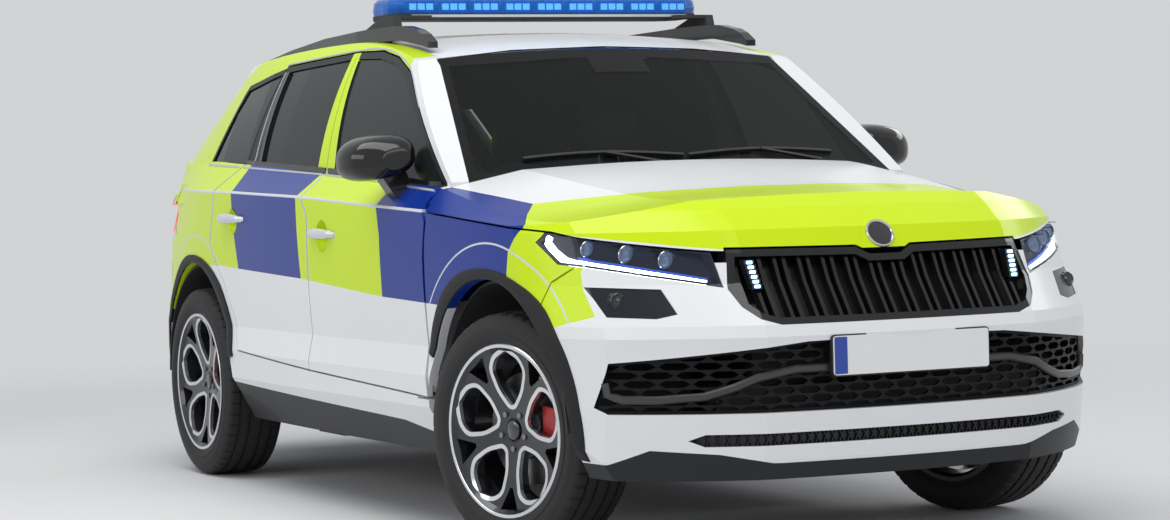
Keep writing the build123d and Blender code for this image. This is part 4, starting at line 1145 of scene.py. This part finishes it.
def soft_piece(name, mesh, material, side=1, replaces=(), lift=0.0):
    points = [(x, side * y + lift, z) for x, y, z in mesh[0]]
    piece = new_piece(name, (points, mesh[1]), material, replaces=replaces, slot="seat_cloth")
    piece.data.set_sharp_from_angle(angle=math.pi)
    subdivision = piece.modifiers.new("subdivision", "SUBSURF")
    subdivision.levels = 1
    subdivision.render_levels = 1


def seats():
    cloth = cloth_material("seat_weave", (0.15, 0.153, 0.16))
    plastic = plain("seat_plastic", (0.016, 0.016, 0.017), rough=0.6, grain=0.3, grain_scale=900)
    steel = plain("headrest_steel", (0.55, 0.55, 0.56), rough=0.25, metal=1.0)
    cushion = padded_mesh([FRONT_CUSHION, (FRONT_BOLSTER, 0.116, 0.156),
                           (FRONT_BOLSTER, 0.574, 0.614)], 0.008, 0.012, (0.198,))
    back = padded_mesh([FRONT_BACK, (BACK_BOLSTER, 0.118, 0.156),
                        (BACK_BOLSTER, 0.574, 0.612)], 0.008, 0.012, (0.198,))
    head = padded_mesh([FRONT_HEAD], 0.006, 0.010)
    for side_name, side in SIDES:
        soft_piece("seat_cushion_front_" + side_name, cushion, cloth, side,
                   replaces=("front_seats",) if side > 0 else ())
        soft_piece("seat_back_front_" + side_name, back, cloth, side)
        soft_piece("headrest_front_" + side_name, head, cloth, side)
        base = prism(rounded(SEAT_BASE, 0.02), lambda u, v, d: (u, side * d, v), 0.165, 0.565)
        bevel(new_piece("seat_base_" + side_name, base, plastic), 0.006)
        posts = merge([column(-0.312, side * y, POST_Z, 0.006, 0.006) for y in (0.325, 0.405)])
        bevel(new_piece("headrest_posts_" + side_name, posts, steel), 0.005, segments=3)
    bench = padded_mesh([REAR_CUSHION], 0.011, 0.012, (0.205, 0.0))
    bench_back = padded_mesh([REAR_BACK], 0.011, 0.012, (0.205, 0.56))
    pillow = padded_mesh([REAR_HEAD], 0.007, 0.009)
    soft_piece("rear_bench_cushion", bench, cloth, replaces=("rear_seats",))
    soft_piece("rear_bench_back", bench_back, cloth)
    for tag, y in (("left", 0.4), ("middle", 0.0), ("right", -0.4)):
        soft_piece("headrest_rear_" + tag, pillow, cloth, lift=y)


# ---- lamps
# Paths and places in front view (y, z) of the left side, with each unit's radius. Metres.
DRL_PATH = ((0.862, 0.944), (0.868, 0.926), (0.862, 0.900), (0.850, 0.873), (0.835, 0.864),
            (0.760, 0.848), (0.680, 0.830), (0.600, 0.813), (0.545, 0.801))
DRL_STEP = 0.012
LAMP_UNITS = ((0.795, 0.903, 0.024), (0.715, 0.886, 0.027), (0.628, 0.868, 0.027))
FOG_UNIT = (0.770, 0.757, 0.022)


def facing_front(profile, x, y, z):
    """Turn (x, r) points about a forward axis through (x, y, z)."""
    verts, faces = lathe(profile, 40)
    return [(x + v, y + u, z + w) for u, v, w in verts], faces


def headlamps():
    glow = plain("daylight_strip", (0.85, 0.90, 1.0), rough=0.3, glow=(0.80, 0.90, 1.0),
                 power=9.0, vary=0.02)
    # Painted light: the shelf behind the daylight strip glows blue for the light beside the strip,
    # though the shelf is no lamp.
    bezel = plain("lamp_shelf_painted_glow", (0.02, 0.04, 0.14), rough=0.3, glow=(0.03, 0.12, 1.0),
                  power=0.45)
    fin = plain("lamp_fin_dark", (0.02, 0.024, 0.035), rough=0.25, metal=0.6)
    fog_glass = plain("fog_lamp_glass", (0.015, 0.017, 0.022), rough=0.05, coat=0.5)
    chrome = plain("lamp_ring_chrome", (0.6, 0.62, 0.66), rough=0.15, metal=1.0)
    glass = plain("lamp_projector_glass", (0.10, 0.12, 0.18), rough=0.04, coat=0.6,
                  glow=(0.25, 0.50, 1.0), power=0.12)
    tree, fog_tree = surface_of("headlamp_lenses"), surface_of("fog_lamps")
    for side_name, side in SIDES:
        line, ways = trace(hit_front(tree, side * y, z) for y, z in spaced(DRL_PATH, DRL_STEP))
        for name, depth, half, material in (("daylight_strip_", -0.012, 0.0105, glow),
                                            # The shelf's blue glow is painted light, not a lamp.
                                            ("lamp_shelf_", -0.020, 0.021, bezel)):
            ribbon(name + side_name, offset(line, ways, depth), ways, half, 0.003, material,
                   "body", slot="headlamp")
        rings, lenses, fins = [], [], []
        for y, z, r in LAMP_UNITS:
            y *= side
            x = hit_front(tree, y, z)[0].x - 0.036
            ring = ((0.0, r * 0.98), (0.010, r * 1.06), (0.012, r), (0.004, r * 0.9))
            dome = ((0.003, r * 0.92), (0.009, r * 0.75), (0.013, r * 0.45), (0.0145, 0.0004))
            rings.append(facing_front(ring, x, y, z))
            lenses.append(facing_front(dome, x, y, z))
            fins.append(box_mesh((x - 0.012, y - r * 1.5, z + r * 1.12),
                                 (x + 0.006, y + r * 1.5, z + r * 1.2)))
        for name, parts, material in (("lamp_rings_", rings, chrome),
                                      ("lamp_projectors_", lenses, glass),
                                      ("lamp_fins_", fins, fin)):
            new_piece(name + side_name, merge(parts), material, smooth=parts is not fins,
                      slot="headlamp")
        y, z, r = FOG_UNIT
        y *= side
        profile = ((-0.02, r * 1.1), (0.006, r * 1.1), (0.008, r), (0.006, r * 0.8),
                   (0.010, r * 0.5), (0.0115, 0.0004))
        unit = facing_front(profile, hit_front(fog_tree, y, z)[0].x - 0.002, y, z)
        new_piece("fog_lamp_unit_" + side_name, unit, fog_glass, slot="headlamp")


# ---- intake trim
BAR_PATH = ((0.0, 0.560), (0.36, 0.556), (0.44, 0.548), (0.56, 0.495), (0.64, 0.475),
            (0.78, 0.478), (0.812, 0.492), (0.822, 0.56))
BAR_STEP = 0.03
BAR_LIFT, BAR_HALF, BAR_DEPTH = 0.012, 0.012, 0.007
BAR_SECTION = ((0.0, 1.0), (1.0, 0.6), (1.0, -0.6), (0.0, -1.0), (-1.0, -0.6), (-1.0, 0.6))
SLIT_Y, SLIT_STEPS, SLIT_RAY_Z = 0.65, 52, 0.392
SLIT_SET_BACK = 0.030
SLIT_LEAN = 0.0115


def bar_mesh(points):
    """Bar of six-sided section along points that faces forward."""
    verts = []
    for i, p in enumerate(points):
        a, b = neighbours(points, i)
        up = Vector((1, 0, 0)).cross((b - a).normalized()).normalized()
        for dx, du in BAR_SECTION:
            verts.append(p + Vector((BAR_LIFT + dx * BAR_DEPTH, 0, 0)) + up * (du * BAR_HALF))
    n, rows = len(BAR_SECTION), len(points)
    ends = [tuple(range(n)), tuple(reversed(range((rows - 1) * n, rows * n)))]
    return verts, grid_faces(rows, n, ring=True) + ends


def intake_bars():
    satin = plain("intake_bar_satin", (0.030, 0.031, 0.034), rough=0.38, coat=0.2)
    intake = surface_of("intake_grille")
    for side_name, side in SIDES:
        path = [*spaced(BAR_PATH, BAR_STEP), BAR_PATH[-1]]
        points, _ = trace(hit_front(intake, side * y, z) for y, z in path)
        new_piece("intake_bar_" + side_name, bar_mesh(points), satin, slot="black_gloss")


def slit_grating():
    """Black grating behind the slit under the intake: a back sheet with crossed slats on it."""
    black = plain("slit_black", (0.010, 0.010, 0.011), rough=0.5)
    tree = surface_of("front_bumper")
    line = [(hit_front(tree, y, SLIT_RAY_Z)[0].x - SLIT_SET_BACK, y)
            for y in (-SLIT_Y + 2 * SLIT_Y * k / SLIT_STEPS for k in range(SLIT_STEPS + 1))]
    sheet = [(x + dx, y, z) for x, y in line
             for dx, z in ((0.0, 0.334), (0.0, 0.388), (-0.004, 0.388), (-0.004, 0.334))]
    end = tuple(reversed(range(len(sheet) - 4, len(sheet))))
    parts = [(sheet, grid_faces(len(line), 4, ring=True) + [(0, 1, 2, 3), end])]
    for (x0, y0), (x1, y1) in zip(line, line[1:]):
        x, y = (x0 + x1) / 2, (y0 + y1) / 2
        for lean in (-SLIT_LEAN, SLIT_LEAN):
            slat = [(x + dx, y + dy, z) for dx in (0.0, 0.010)
                    for dy, z in ((lean - 0.0015, 0.336), (lean + 0.0015, 0.336),
                                  (0.0015 - lean, 0.386), (-0.0015 - lean, 0.386))]
            parts.append((slat, BOX_FACES))
    new_piece("slit_grating", merge(parts), black, smooth=False, slot="black_trim")


# ---- the scene
dress_frame()
wheels()
arch_trim = plain("arch_trim", (0.013, 0.013, 0.014), rough=0.55, spec=0.25, grain=0.3,
                  grain_scale=900)
window_black = plain("window_black", (0.006, 0.006, 0.007), rough=0.2, coat=0.3, spec=0.3)
bright_line = plain("bright_line", (0.66, 0.69, 0.72), rough=0.25, metal=0.6)
pull_silver = plain("pull_silver", (0.68, 0.70, 0.72), rough=0.22, metal=0.35, coat=0.4)
side_trees = {side: surface_of(f"side_frame_{name}", f"door_front_{name}", f"door_rear_{name}",
                               "front_wings", "front_bumper", "rear_bumper")
              for name, side in SIDES}
cladding(side_trees, arch_trim)
for side_name, side in SIDES:
    glass_trims(side_trees[side], side_name, side, window_black, bright_line)
    roof_lines(side_trees[side], side_name, side, bright_line)
    pillar_strips(side_name, side, window_black, bright_line)
    quarter_skins(side_name, side, bpy.data.materials["livery_paint"])
    door_pulls(side_trees[side], side_name, side, pull_silver)
door_mirrors()
seats()
wipers()
tail_bars()
light_bar()
number_plate()
emblem(surface_of("bonnet"))
strobes()
headlamps()
intake_bars()
slit_grating()

camera()
studio()
